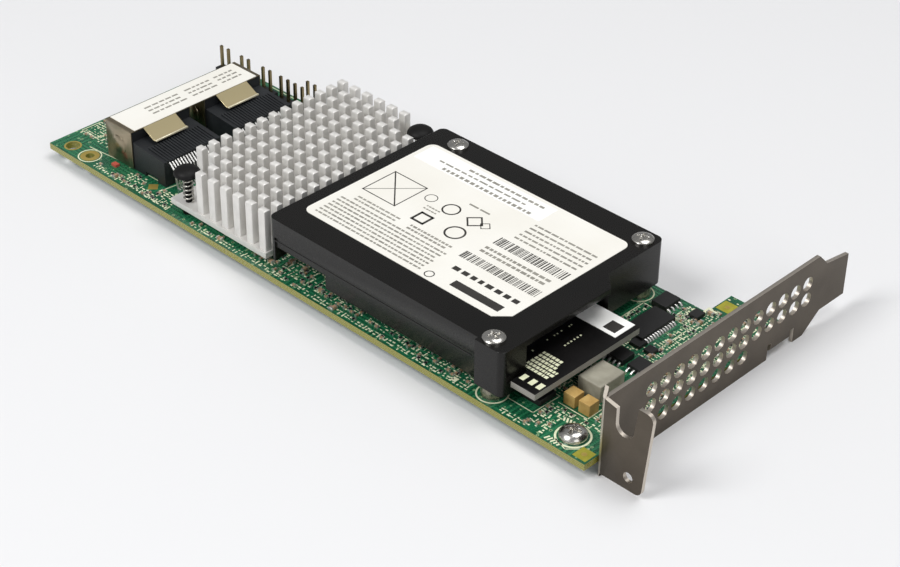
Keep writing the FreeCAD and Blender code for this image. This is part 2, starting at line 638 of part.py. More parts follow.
def bracket():
    """Low-profile bracket, folded from one sheet: plate, tail, flange and two board tabs."""
    body = new_body("bracket")
    flange_foot = bracket_low + d.flange_low
    top = flange_foot + d.flange_width
    plate_top = bracket_low + d.bracket_width
    face = d.flange_start
    section = [
        (plate_in, face), (flange_tip, face), (flange_tip, face + d.sheet_thick),
        (plate_out, face + d.sheet_thick), (plate_out, bracket_end), (plate_in, bracket_end),
    ]
    angle = prism(body, "folded_angle", "z", bracket_low, top, polygons=[section])
    outer = round_edges(body, angle, "bend_outside", "z", [(plate_in, face)],
                        d.bend_inside + d.sheet_thick)
    bend = round_edges(body, outer, "bend_within", "z", [(plate_out, face + d.sheet_thick)],
                       d.bend_inside)
    bend_end = face + d.sheet_thick + d.bend_inside
    tail_low = bracket_low + d.tail_rise
    tail_top = tail_low + d.tail_width
    tail_start = bracket_end - d.tail_length
    shoulder = tail_start - d.shoulder_top + d.sheet_thick
    spare = d.cut_over
    above = [
        (bend_end + d.fit_gap, plate_top), (shoulder, plate_top),
        (shoulder + d.shoulder_top, plate_top - d.shoulder_drop), (bracket_end, tail_top),
        (bracket_end + spare, tail_top), (bracket_end + spare, top + spare),
        (bend_end + d.fit_gap, top + spare),
    ]
    prism(body, "upper_outline", "x", plate_in, plate_out, polygons=[above], cut=True)
    below = [
        (tail_start - d.shoulder_low, bracket_low), (tail_start, tail_low),
        (bracket_end + spare, tail_low), (bracket_end + spare, bracket_low - spare),
        (tail_start - d.shoulder_low, bracket_low - spare),
    ]
    prism(body, "lower_outline", "x", plate_in, plate_out, polygons=[below], cut=True)
    edge = [
        (flange_tip, top), (flange_tip + spare, top), (flange_tip + spare, bracket_low - spare),
        (plate_out, bracket_low - spare), (plate_out, flange_foot),
        (flange_tip - d.flange_taper, flange_foot),
    ]
    taper = prism(body, "flange_edge", "y", face, face + d.sheet_thick, polygons=[edge], cut=True)
    corners = [(flange_tip, top), (flange_tip - d.flange_taper, flange_foot)]
    round_edges(body, taper, "flange_corners", "y", corners, d.flange_corner)
    slot_x = plate_in + d.slot_from_plate
    slot_z = top - d.slot_depth + d.slot_width / 2
    half = d.slot_width / 2
    mouth = [
        (slot_x - half, slot_z), (slot_x + half, slot_z), (slot_x + half + d.slot_flare, top + spare),
        (slot_x - half, top + spare),
    ]
    prism(body, "screw_slot", "y", face, face + d.sheet_thick, polygons=[mouth], cut=True)
    prism(body, "slot_end", "y", face, face + d.sheet_thick, circles=[(slot_x, slot_z, half)], cut=True)
    small = (plate_in + d.flange_hole_in, flange_foot + d.flange_hole_up, d.flange_hole_radius)
    prism(body, "flange_hole", "y", face, face + d.sheet_thick, circles=[small], cut=True)
    row = bracket_low + d.vent_row_low
    pair = [many_sided(d.vent_first, row + d.vent_row_pitch * i, d.vent_radius, VENT_SIDES)
            for i in (1, 2)]
    vents = prism(body, "vents", "x", plate_in, plate_out, polygons=pair, cut=True)
    repeat(body, vents, "vent_rows", "Y_Axis", d.vent_pitch, d.vent_columns)
    short = [many_sided(d.vent_first + d.vent_pitch, row, d.vent_radius, VENT_SIDES)]
    low_vents = prism(body, "low_vents", "x", plate_in, plate_out, polygons=short, cut=True)
    repeat(body, low_vents, "low_vent_row", "Y_Axis", d.vent_pitch, d.vent_short_columns)
    tabs = (("near", d.near_tab_start, d.near_tab_width), ("far", d.far_tab_start, d.far_tab_width))
    for name, start, width in tabs:
        end = start + width
        relief = [
            (start - d.tab_relief, bracket_low - spare), (start - d.tab_relief, d.relief_rise),
            (start, d.relief_rise), (start, -d.sheet_thick), (end, -d.sheet_thick),
            (end, d.relief_rise), (end + d.tab_relief, d.relief_rise),
            (end + d.tab_relief, bracket_low - spare),
        ]
        prism(body, name + "_relief", "x", plate_in, plate_out, polygons=[relief], cut=True)
    reach = plate_in - d.tab_reach
    neck = plate_in - d.tab_neck
    near_end = d.near_tab_start + d.near_tab_width
    near = [
        (plate_out, d.near_tab_start), (plate_out, near_end), (reach, near_end),
        (reach, d.near_tab_head), (neck, d.near_tab_head), (neck, d.near_tab_start),
    ]
    far_end = d.far_tab_start + d.far_tab_width
    far = rectangle(reach, plate_out, d.far_tab_start, far_end)
    prism(body, "near_tab", "z", -d.sheet_thick, dim(0), polygons=[near])
    tab = prism(body, "far_tab", "z", -d.sheet_thick, dim(0), polygons=[far])
    round_edges(body, tab, "tab_bends", "y", [(plate_out, -d.sheet_thick)], d.sheet_thick)
    hole = (screw_x, d.bracket_screw_y, d.screw_shank_radius + d.fit_gap)
    prism(body, "tab_hole", "z", -d.sheet_thick, dim(0), circles=[hole], cut=True)
    return place(body, "bracket")


def pan_head(shank, head, tall, seat, end):
    """Half section of a pan-head screw from its end to its crown, as (radius, Z)."""
    return [
        (dim(0), end), (shank, end), (shank, seat), (head, seat), (head, seat + tall * d.head_side),
        (head * d.head_flat, seat + tall), (dim(0), seat + tall),
    ]


def bracket_screw():
    """Pan-head screw through the board into the bracket's near tab."""
    body = new_body("bracket_screw")
    end = -d.sheet_thick - d.screw_end
    profile = pan_head(d.screw_shank_radius, d.screw_head_radius, d.screw_head_tall, board_top, end)
    turned(body, "screw", screw_x, d.bracket_screw_y, profile)
    return place(body, "bracket_screw")


def connector(tag, shift):
    """One drive connector: folded shell, moulded housing and its row of contact tails."""
    y0 = shell_near + shift
    y1 = y0 + d.shell_width
    wall = d.shell_wall
    shell = new_body("sas_shell_" + tag)
    tube = prism(shell, "tube", "x", d.shell_start, shell_end,
                 polygons=[rectangle(y0, y1, board_top, shell_top)])
    corners = [(y, z) for y in (y0, y1) for z in (board_top, shell_top)]
    round_edges(shell, tube, "tube_folds", "x", corners, wall)
    inside = rectangle(y0 + wall, y1 - wall, board_top + wall, shell_top - wall)
    prism(shell, "tube_inside", "x", d.shell_start, shell_end, polygons=[inside], cut=True)
    flap_end = shell_end + d.flap_reach
    flap_low = shell_top - d.flap_fall
    flap = [
        (shell_end, shell_top - wall), (shell_end, shell_top), (flap_end, flap_low),
        (flap_end + d.flap_lip, flap_low), (flap_end + d.flap_lip, flap_low - wall),
        (flap_end, flap_low - wall),
    ]
    flap_near = y0 + d.flap_inset
    prism(shell, "rear_flap", "y", flap_near, flap_near + d.flap_width, polygons=[flap])
    mid_x = d.shell_start + d.shell_length / 2
    mid_z = board_top + d.shell_tall / 2
    long = d.emboss_size / 2
    short = long * d.emboss_side
    octagon = [
        (mid_x - short, mid_z - long), (mid_x + short, mid_z - long), (mid_x + long, mid_z - short),
        (mid_x + long, mid_z + short), (mid_x + short, mid_z + long), (mid_x - short, mid_z + long),
        (mid_x - long, mid_z + short), (mid_x - long, mid_z - short),
    ]
    prism(shell, "side_emboss", "y", y0 - d.emboss_rise, y0, polygons=[octagon])
    place(shell, "sas_shell_" + tag)

    housing = new_body("sas_housing_" + tag)
    low_top = board_top + d.housing_tall
    back = shell_end + d.fit_gap
    rear = back + d.housing_length
    foot = rear - d.housing_foot
    under = foot - d.housing_notch
    side = [
        (back, board_top), (under, board_top), (under, board_top + d.notch_rise),
        (foot, board_top + d.notch_rise), (foot, board_top), (rear, board_top),
        (rear, low_top - d.housing_fall), (back, low_top),
    ]
    near = y0 + d.housing_inset
    far = y1 - d.housing_inset
    prism(housing, "housing_block", "y", near, far, polygons=[side])
    span = d.tail_pitch * (d.tail_count - 1) + d.tail_wide
    first = near + (far - near - span) / 2
    rib_first = first - (d.tail_pitch - d.tail_wide) / 2 - d.rib_width / 2
    rib_start = back + d.flap_reach + d.flap_lip + d.fit_gap
    slope = d.housing_fall / d.housing_length
    rib_low = low_top - (rib_start - back) * slope
    rib = [
        (rib_start, rib_low - d.rib_rise), (rear, low_top - d.housing_fall - d.rib_rise),
        (rear, low_top - d.housing_fall + d.rib_rise * d.rib_end_share), (rib_start, rib_low + d.rib_rise),
    ]
    ribs = prism(housing, "top_rib", "y", rib_first, rib_first + d.rib_width, polygons=[rib])
    repeat(housing, ribs, "top_ribs", "Y_Axis", d.tail_pitch, d.tail_count + 1)
    gap = wall + d.fit_gap
    insert = rectangle(y0 + gap, y1 - gap, board_top + gap, shell_top - gap)
    insert_start = d.shell_start + d.mouth_depth
    prism(housing, "insert", "x", insert_start, shell_end, polygons=[insert])
    bridge = rectangle(near, far, board_top + gap, low_top - d.rib_rise)
    prism(housing, "insert_root", "x", shell_end, back, polygons=[bridge])
    slot = rectangle(y0 + gap + d.mating_slot_margin, y1 - gap - d.mating_slot_margin,
                     mid_z - d.mating_slot_tall / 2, mid_z + d.mating_slot_tall / 2)
    prism(housing, "mating_slot", "x", insert_start, insert_start + d.mating_slot_depth,
          polygons=[slot], cut=True)
    place(housing, "sas_housing_" + tag)

    contacts = new_body("sas_contacts_" + tag)
    leave = low_top - d.housing_fall - d.rib_rise
    thick = d.tail_thick
    knee = leave - d.tail_knee_fall
    foot_end = rear + d.tail_out + d.tail_foot
    strip = [
        (rear, leave), (rear + d.tail_knee_out, knee), (rear + d.tail_out, board_top + thick),
        (foot_end, board_top + thick), (foot_end, board_top),
        (rear + d.tail_out - thick, board_top), (rear + d.tail_knee_out - thick, knee - thick),
        (rear, leave - thick * d.tail_root),
    ]
    tail = prism(contacts, "contact_tail", "y", first, first + d.tail_wide, polygons=[strip])
    repeat(contacts, tail, "contact_tails", "Y_Axis", d.tail_pitch, d.tail_count)
    place(contacts, "sas_contacts_" + tag)


def connector_label():
    """Paper label across the tops of both connector shells."""
    near = shell_near + d.top_label_inset
    far = shell_near + d.connector_pitch + d.shell_width - d.top_label_inset
    label = block("connector_paper", d.shell_start + d.shell_wall, shell_end, near, far,
                  shell_top, shell_top + d.label_thick)
    return group("connector_label", [label])


def heat_sink():
    """Pin-fin heat sink: a base plate with crowned fins, sawn across into pins."""
    body = new_body("heat_sink")
    x0 = d.sink_x
    y0 = d.sink_y
    base = rectangle(x0, x0 + sink_length, y0, y0 + sink_width)
    prism(body, "base_plate", "z", sink_low, sink_top, polygons=[base])
    pins_x = x0 + d.sink_margin
    pins_y = y0 + d.sink_margin
    root = sink_top - d.fit_gap
    top = sink_top + d.pin_tall
    crown = d.pin_crown
    fin = [
        (pins_y, root), (pins_y + d.pin_wide, root), (pins_y + d.pin_wide, top - crown),
        (pins_y + d.pin_wide - crown, top), (pins_y + crown, top), (pins_y, top - crown),
    ]
    one = prism(body, "fin", "x", pins_x, pins_x + pins_length, polygons=[fin])
    repeat(body, one, "fins", "Y_Axis", pin_pitch_y, d.pin_rows)
    saw_start = pins_x + d.pin_long
    saw = rectangle(saw_start, saw_start + d.pin_pitch_x - d.pin_long, sink_top, top + d.cut_over)
    cut = prism(body, "saw_cut", "y", y0 - d.cut_over, y0 + sink_width + d.cut_over,
                polygons=[saw], cut=True)
    repeat(body, cut, "saw_cuts", "X_Axis", d.pin_pitch_x, d.pin_columns - 1)
    clear_x = d.cleared_pins * d.pin_pitch_x
    clear_y = d.cleared_pins * pin_pitch_y
    near = rectangle(x0 - d.cut_over, pins_x + clear_x - d.fit_gap,
                     y0 - d.cut_over, pins_y + clear_y - d.fit_gap)
    far = rectangle(x0 + sink_length - d.sink_margin - clear_x + d.fit_gap, x0 + sink_length + d.cut_over,
                    y0 + sink_width - d.sink_margin - clear_y + d.fit_gap, y0 + sink_width + d.cut_over)
    prism(body, "cleared_corners", "z", sink_top, top + d.cut_over, polygons=[near, far], cut=True)
    holes = [(x, y, d.push_shank_radius + d.fit_gap * 2) for tag, x, y in push_places]
    prism(body, "push_pin_holes", "z", sink_low, sink_top, circles=holes, cut=True)
    return place(body, "heat_sink")


def coil_spring(radius, wire, rise, turns):
    """A coil of square wire set on edge, as one solid of flat facets, a few to each turn."""
    steps = int(turns * SPRING_STEPS)
    offsets = [(wire / 2, 0), (0, wire / 2), (-wire / 2, 0), (0, -wire / 2)]
    rings = []
    for i in range(steps + 1):
        angle = 2 * math.pi * i / SPRING_STEPS
        level = rise * i / steps
        ring = []
        for out, up in offsets:
            reach = radius + out
            ring.append(FreeCAD.Vector(reach * math.cos(angle), reach * math.sin(angle), level + up))
        rings.append(ring)
    loops = [list(rings[0]), list(reversed(rings[-1]))]
    for low, high in zip(rings, rings[1:]):
        for i in range(len(offsets)):
            j = (i + 1) % len(offsets)
            loops.append([low[i], high[i], high[j]])
            loops.append([low[i], high[j], low[j]])
    faces = [Part.Face(Part.makePolygon(loop + loop[:1])) for loop in loops]
    shell = Part.Shell(faces)
    solid = Part.Solid(shell)
    if solid.Volume < 0:
        solid.reverse()
    return solid


def push_pin(tag, x, y):
    """Push pin through the sink and the board, and the coil spring under its cap."""
    pin = new_body("push_pin_" + tag)
    shank = d.push_shank_radius
    cap = d.push_cap_radius
    end = bracket_low
    thick = d.push_body_radius
    barb_top = -d.barb_gap
    collar = sink_low - d.fit_gap * 2
    profile = [
        (dim(0), end), (shank, end), (d.barb_radius, barb_top), (thick, barb_top), (thick, collar),
        (shank, collar), (shank, cap_under), (cap, cap_under),
        (cap, cap_under + d.push_cap_tall * d.cap_side), (cap * d.cap_flat, push_top),
        (dim(0), push_top),
    ]
    turned(pin, "turned_pin", x, y, profile)
    place(pin, "push_pin_" + tag)

    wire = d.spring_wire.value / 2
    low = sink_top + d.spring_wire / 2 + d.fit_gap
    tall = cap_under - d.fit_gap - d.spring_wire / 2 - low
    coil = coil_spring(d.spring_radius.value, d.spring_wire.value, tall.value, d.spring_turns.value)
    spring = doc.addObject("Part::Feature", "push_pin_spring_" + tag)
    spring.Shape = coil
    place(spring, "push_pin_spring_" + tag, at=(x, y, low))


def controller_chip():
    """Controller chip under the sink: a square package with a smaller cap, and its pad."""
    mid_x = d.sink_x + sink_length / 2
    mid_y = d.sink_y + sink_width / 2
    half = d.chip_side / 2
    cap = d.die_side / 2
    shoulder = board_top + d.chip_tall - d.die_tall
    body = new_body("controller_chip")
    prism(body, "package", "z", board_top, shoulder,
          polygons=[rectangle(mid_x - half, mid_x + half, mid_y - half, mid_y + half)])
    prism(body, "cap", "z", shoulder, board_top + d.chip_tall,
          polygons=[rectangle(mid_x - cap, mid_x + cap, mid_y - cap, mid_y + cap)])
    place(body, "controller_chip")
    pad = block("pad", mid_x - cap, mid_x + cap, mid_y - cap, mid_y + cap,
                board_top + d.chip_tall, sink_low)
    group("thermal_pad", [pad])


def memory_chips():
    """Row of memory chips on the board under the battery."""
    chips = []
    for i in range(MEMORY_CHIPS):
        x0 = d.memory_first + d.memory_pitch * i
        chips.append(block("memory_%d" % i, x0, x0 + d.memory_wide, d.memory_near,
                           d.memory_near + d.memory_long, board_top, board_top + d.memory_tall))
    return group("memory_chips", chips)


def battery_cover():
    """Moulded battery cover: a box open below, with a set-back corner, bosses and cut-outs."""
    body = new_body("battery_cover")
    x0 = d.cover_x
    y0 = d.cover_y
    wall = d.cover_wall
    step_y = cover_far - d.cover_step_length
    inner_end = cover_end - d.cover_step_in
    boss_x = cover_end - d.boss_length
    outline = [
        (x0, y0), (boss_x, y0), (boss_x, y0 - d.boss_out), (cover_end, y0 - d.boss_out),
        (cover_end, step_y - d.cover_step_in / 2), (inner_end, step_y + d.cover_step_in / 2),
        (inner_end, cover_far), (x0, cover_far),
    ]
    shell = prism(body, "cover_block", "z", cover_low, cover_top, polygons=[outline])
    corners = [(x0, y0), (x0, cover_far), (inner_end, cover_far), (cover_end, y0 - d.boss_out)]
    round_edges(body, shell, "cover_corners", "z", corners, d.cover_corner)
    deck = cover_top - wall
    cavity = [
        (x0 + wall, y0 + wall), (cover_end - wall, y0 + wall),
        (cover_end - wall, step_y - d.cover_step_in / 2 - wall / 2),
        (inner_end - wall, step_y + d.cover_step_in / 2 - wall / 2),
        (inner_end - wall, cover_far - wall), (x0 + wall, cover_far - wall),
    ]
    prism(body, "cavity", "z", cover_low, deck, polygons=[cavity], cut=True)
    step_top = cover_low + d.side_step_rise
    step = rectangle(x0 + d.side_notch_start, boss_x + d.cover_step_in, cover_low, step_top)
    prism(body, "near_side_step", "y", y0, y0 + d.side_step, polygons=[step], cut=True)
    notch_start = x0 + d.side_notch_start
    notch = rectangle(notch_start, notch_start + d.side_notch_length, cover_low,
                      cover_low + d.side_notch_rise)
    prism(body, "near_side_notch", "y", y0, y0 + wall, polygons=[notch], cut=True)
    window = rectangle(d.board_window_start, d.battery_board_far + d.board_clear, cover_low, deck)
    prism(body, "board_window", "x", inner_end - wall, cover_end, polygons=[window], cut=True)
    bosses = [(x, y, d.boss_radius) for x, y in cover_screws]
    prism(body, "screw_bosses", "z", cover_low, deck, circles=bosses)
    holes = [(x, y, d.cover_screw_radius + d.fit_gap) for x, y in cover_screws]
    prism(body, "screw_holes", "z", cover_low, cover_top, circles=holes, cut=True)
    return place(body, "battery_cover")


def battery_cover_fixings():
    """Standoffs on the board and the screws that hold the cover to them."""
    standoffs = new_body("battery_standoffs")
    bore = d.cover_screw_radius + d.fit_gap
    posts = [many_sided(x, y, d.standoff_radius, POST_SIDES) for x, y in cover_screws]
    bores = [many_sided(x, y, bore, VENT_SIDES) for x, y in cover_screws]
    prism(standoffs, "standoff_posts", "z", board_top, cover_low, polygons=posts)
    prism(standoffs, "standoff_bores", "z", board_top, cover_low, polygons=bores, cut=True)
    place(standoffs, "battery_standoffs")
    screws = []
    for i, (x, y) in enumerate(cover_screws):
        body = new_body("cover_screw_%d" % i)
        profile = pan_head(d.cover_screw_radius, d.cover_head_radius, d.cover_head_tall, cover_top,
                           cover_low - d.cover_screw_bite)
        turned(body, "cover_screw_turned_%d" % i, x, y, profile)
        screws.append(body)
    group("battery_cover_screws", screws)


def battery_pack():
    """Battery cell under the cover, its circuit board and the plug between the two boards."""
    inside = d.cover_wall + d.cell_margin
    cell_top = cover_top - d.cover_wall - d.seat_gap
    boss_far = cover_screw_far - d.boss_radius - d.seat_gap
    cell = new_body("battery_cell")
    outline = rectangle(d.cover_x + inside, cover_end - d.cover_step_in - inside,
                        d.cover_y + inside, boss_far)
    brick = prism(cell, "cell_brick", "z", cell_top - d.cell_tall, cell_top, polygons=[outline])
    long_edges = [(y, z) for y in (d.cover_y + inside, boss_far)
                  for z in (cell_top, cell_top - d.cell_tall)]
    round_edges(cell, brick, "cell_edges", "x", long_edges, d.cover_corner)
    place(cell, "battery_cell")

    deck = new_body("battery_board")
    notch_x = cover_end + d.board_clear
    notch_y = d.cover_y - d.boss_out + d.boss_length + d.board_clear
    shape = [
        (d.battery_board_start, notch_y), (notch_x, notch_y), (notch_x, d.battery_board_near),
        (d.battery_board_end, d.battery_board_near), (d.battery_board_end, d.battery_board_far),
        (d.battery_board_start, d.battery_board_far),
    ]
    prism(deck, "deck_plate", "z", deck_low, deck_top, polygons=[shape])
    place(deck, "battery_board")

    mezz = (d.mezz_x, d.mezz_x + d.mezz_length, d.mezz_y, d.mezz_y + d.mezz_width)
    join = board_top + d.mezz_tall
    socket = new_body("board_receptacle")
    prism(socket, "socket_block", "z", board_top, join, polygons=[rectangle(*mezz)])
    lip = d.plug_rim
    groove = rectangle(mezz[0] + lip * 2, mezz[1] - lip * 2, mezz[2] + lip * 2, mezz[3] - lip * 2)
    prism(socket, "socket_groove", "z", join - d.mezz_tall / 2, join, polygons=[groove], cut=True)
    place(socket, "board_receptacle")
    plug = new_body("board_plug")
    tongue = rectangle(mezz[0] + lip * 2 + d.fit_gap, mezz[1] - lip * 2 - d.fit_gap,
                       mezz[2] + lip * 2 + d.fit_gap, mezz[3] - lip * 2 - d.fit_gap)
    prism(plug, "plug_block", "z", join + d.fit_gap, deck_low, polygons=[rectangle(*mezz)])
    prism(plug, "plug_tongue", "z", join - d.mezz_tall * d.plug_bite, join + d.fit_gap, polygons=[tongue])
    place(plug, "board_plug")


def labels():
    """Label on the battery cover and sticker on the battery board."""
    label = new_body("battery_label")
    x0 = d.cover_x + d.cover_label_margin
    x1 = x0 + d.cover_label_length
    y0 = d.cover_y + d.cover_label_side
    y1 = cover_far - d.cover_label_side
    clip = d.cover_label_clip
    outline = [(x0, y0), (x1 - clip, y0), (x1, y0 + clip), (x1, y1), (x0, y1)]
    paper = prism(label, "label_sheet", "z", cover_top, cover_top + d.label_thick, polygons=[outline])
    round_edges(label, paper, "label_corners", "z", [(x0, y0), (x0, y1), (x1, y1)],
                d.cover_label_corner)
    place(label, "battery_label")
    far = d.battery_board_far - d.fit_gap
    sticker = block("sticker", d.sticker_start, d.sticker_start + d.sticker_length,
                    far - d.sticker_width, far, deck_top, deck_top + d.label_thick)
    group("board_sticker", [sticker])


def headers():
    """Pin headers along the far edge: insulators and square pins."""
    bases = []
    pins = []
    half = d.header_base / 2
    thin = d.header_pin / 2
    base_top = board_top + d.header_base
    for number, (x, y, count) in enumerate(header_pins):
        last = x + d.header_pitch * (count - 1)
        outer = block("insulator_%d" % number, x - half, last + half, y - half, y + half,
                      board_top, base_top)
        holes = []
        for i in range(count):
            mid = x + d.header_pitch * i
            holes.append(block("pin_way_%d_%d" % (number, i), mid - thin, mid + thin, y - thin,
                               y + thin, board_top, base_top))
            pins.append(block("pin_%d_%d" % (number, i), mid - thin, mid + thin, y - thin,
                              y + thin, -d.header_pin_tail, base_top + d.header_pin_tall))
        ways = doc.addObject("Part::Compound", "pin_ways_%d" % number)
        ways.Links = holes
        cut = doc.addObject("Part::Cut", "header_%d" % number)
        cut.Base = outer
        cut.Tool = ways
        bases.append(cut)
    group("header_bases", bases)
    group("header_pins", pins)


def inductor():
    """Moulded inductor: a block with cut corners."""
    body = new_body("inductor")
    half_x = d.inductor_length / 2
    half_y = d.inductor_width / 2
    cut = d.inductor_corner
    x = d.inductor_x
    y = d.inductor_y
    outline = [
        (x - half_x + cut, y - half_y), (x + half_x - cut, y - half_y),
        (x + half_x, y - half_y + cut), (x + half_x, y + half_y - cut),
        (x + half_x - cut, y + half_y), (x - half_x + cut, y + half_y),
        (x - half_x, y + half_y - cut), (x - half_x, y - half_y + cut),
    ]
    prism(body, "inductor_block", "z", board_top, board_top + d.inductor_tall, polygons=[outline])
    return place(body, "inductor")


def capacitors():
    """Two block capacitors beside the inductor."""
    pieces = []
    for i in range(2):
        x = d.capacitor_x + d.capacitor_step * i
        pieces.append(block("capacitor_%d" % i, x - d.capacitor_length / 2, x + d.capacitor_length / 2,
                            d.capacitor_y - d.capacitor_width / 2,
                            d.capacitor_y + d.capacitor_width / 2,
                            board_top, board_top + d.capacitor_tall))
    return group("capacitors", pieces)


def leaded_chip(name, x, y, long, wide, pitch, leads, along):
    """A chip with a row of leads on each long side; along is the axis of its long side."""
    body = new_body(name)
    low = board_top + d.chip_standoff
    high = low + d.chip_body_tall
    half_long = long / 2
    half_wide = wide / 2
    if along == "x":
        sides = rectangle(x - half_long, x + half_long, y - half_wide, y + half_wide)
        role = "X_Axis"
        middle = x
        centre = y
    else:
        sides = rectangle(x - half_wide, x + half_wide, y - half_long, y + half_long)
        role = "Y_Axis"
        middle = y
        centre = x
    prism(body, name + "_body", "z", low, high, polygons=[sides])
    span = dim(pitch) * (leads - 1) + d.chip_lead_wide
    first = middle - span / 2
    thick = d.chip_lead_thick
    leave = low + d.chip_body_tall / 2
    for sign in (-1, 1):
        edge = centre + half_wide * sign
        foot = edge + d.chip_lead * sign
        knee = edge + d.chip_lead * d.lead_knee * sign
        lead = [
            (edge, leave), (knee, leave), (foot, board_top + thick), (foot, board_top),
            (knee, board_top), (edge, leave - thick * 2),
        ]
        side = "near" if sign < 0 else "far"
        one = prism(body, "%s_lead_%s" % (name, side), along, first, first + d.chip_lead_wide,
                    polygons=[lead])
        repeat(body, one, "%s_leads_%s" % (name, side), role, pitch, leads)
    return body


def small_chips():
    """Eight-lead chips, the bus driver and the square battery monitor."""
    chips = []
    for name, x, inward, turned_chip in CHIP_PLACES:
        middle_y = d.board_main_width - getattr(d, name + "_in")
        chips.append(leaded_chip(name, getattr(d, name + "_x"), middle_y, d.chip_body_long,
                                 d.chip_body_wide, d.chip_lead_pitch, LEAD_ROW,
                                 "y" if turned_chip else "x"))
    group("soic_chips", chips)
    driver = leaded_chip("bus_driver", d.driver_x, driver_y, d.driver_long, d.driver_wide,
                         d.driver_lead_pitch, DRIVER_LEADS, "y")
    place(driver, "driver_chip")
    half = d.monitor_side / 2
    monitor = block("monitor", d.monitor_x - half, d.monitor_x + half, d.monitor_y - half,
                    d.monitor_y + half, board_top, board_top + d.chip_body_tall)
    group("monitor_chip", [monitor])


main_board()
edge_fingers()
bracket()
bracket_screw()
for tag, shift in (("a", dim(0)), ("b", d.connector_pitch)):
    connector(tag, shift)
connector_label()
heat_sink()
for tag, x, y in push_places:
    push_pin(tag, x, y)
controller_chip()
memory_chips()
battery_cover()
battery_cover_fixings()
battery_pack()
labels()
headers()
inductor()
capacitors()
small_chips()

doc.recompute()
for obj in doc.Objects:
    if "Invalid" in obj.State or "Error" in obj.State:
        raise RuntimeError("not built: %s (%s)" % (obj.Name, obj.State))
for obj in parts:
    if obj.Shape.isNull() or not obj.Shape.isValid():
        raise RuntimeError("bad shape: %s" % obj.Label)

os.makedirs("parts", exist_ok=True)
for obj in parts:
    obj.Shape.exportStep("parts/%s.step" % obj.Label)
    box = obj.Shape.BoundBox
    print("%-22s %3d solids  %9.2f mm3  x %7.2f %7.2f  y %7.2f %7.2f  z %6.2f %6.2f" % (
        obj.Label, len(obj.Shape.Solids), obj.Shape.Volume,
        box.XMin, box.XMax, box.YMin, box.YMax, box.ZMin, box.ZMax))
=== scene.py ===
"""Looks of a storage controller card: finishes, printed marks, small parts, floor, lamps and camera."""
import math
from types import SimpleNamespace

import bmesh
import bpy
import numpy as np
from bpy.props import FloatProperty, FloatVectorProperty, IntProperty, PointerProperty
from mathutils import Matrix, Vector


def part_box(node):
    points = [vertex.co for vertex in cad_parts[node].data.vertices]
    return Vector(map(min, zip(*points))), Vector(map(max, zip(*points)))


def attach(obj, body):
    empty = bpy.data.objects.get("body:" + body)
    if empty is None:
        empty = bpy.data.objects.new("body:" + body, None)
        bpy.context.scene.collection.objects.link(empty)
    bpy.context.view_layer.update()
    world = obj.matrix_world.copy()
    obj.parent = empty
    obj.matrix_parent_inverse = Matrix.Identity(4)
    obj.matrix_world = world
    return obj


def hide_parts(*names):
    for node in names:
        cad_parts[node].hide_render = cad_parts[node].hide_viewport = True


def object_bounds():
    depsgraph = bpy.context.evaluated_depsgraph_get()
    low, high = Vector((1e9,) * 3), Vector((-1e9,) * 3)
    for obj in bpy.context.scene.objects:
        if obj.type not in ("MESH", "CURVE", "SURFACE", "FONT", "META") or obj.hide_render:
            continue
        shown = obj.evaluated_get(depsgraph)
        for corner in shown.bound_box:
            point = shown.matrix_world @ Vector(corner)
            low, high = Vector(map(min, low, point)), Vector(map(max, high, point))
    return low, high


bl_info = {
    "name": "Storage Controller Card",
    "version": (1, 0, 0),
    "blender": (4, 5, 0),
    "location": "3D View > Sidebar > Card",
    "description": "Dresses a storage controller card and sets its studio",
    "category": "Object",
}

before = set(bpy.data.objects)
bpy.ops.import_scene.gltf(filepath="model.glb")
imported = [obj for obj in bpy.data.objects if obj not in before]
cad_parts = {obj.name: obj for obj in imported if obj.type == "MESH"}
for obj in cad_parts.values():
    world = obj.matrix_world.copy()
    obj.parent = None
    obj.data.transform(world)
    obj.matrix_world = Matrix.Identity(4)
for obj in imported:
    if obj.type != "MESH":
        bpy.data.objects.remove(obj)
CAD_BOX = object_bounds()
MM = 0.001
CORNER = np.array(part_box("main_board")[0])
BOARD_TOP = (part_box("main_board")[1].z - CORNER[2]) / MM


def card(x, y, z=0.0):
    """A place on the card, in mm from the board's lower corner, as metres in the frame."""
    return CORNER + np.stack(np.broadcast_arrays(x, y, z), -1) * MM


def span(node):
    """A node's box in mm from the board's lower corner: (lowest, highest)."""
    low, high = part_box(node)
    return (np.array(low) - CORNER) / MM, (np.array(high) - CORNER) / MM


def points_of(node):
    """A node's points in mm from the board's lower corner."""
    return (np.array([v.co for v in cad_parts[node].data.vertices]) - CORNER) / MM


# ---------------------------------------------------------------- user's sizes and colours

def colour(shade):
    """Linear RGBA of an sRGB hex value; a colour that is linear already is handed back."""
    if not isinstance(shade, str):
        return tuple(shade)
    parts = np.array([int(shade[i:i + 2], 16) for i in (0, 2, 4)]) / 255
    linear = np.where(parts <= 0.04045, parts / 12.92, ((parts + 0.055) / 1.055) ** 2.4)
    return (*linear.tolist(), 1.0)


def measure(label, text, size):
    """A length that a user may change, given in mm."""
    return FloatProperty(name=label, description=text, default=size * MM, unit="LENGTH")


def swatch(label, text, tone):
    """A colour that a user may change, given as an sRGB hex value."""
    return FloatVectorProperty(name=label, description=text, default=colour(tone), size=4,
                               min=0.0, max=1.0, subtype="COLOR")


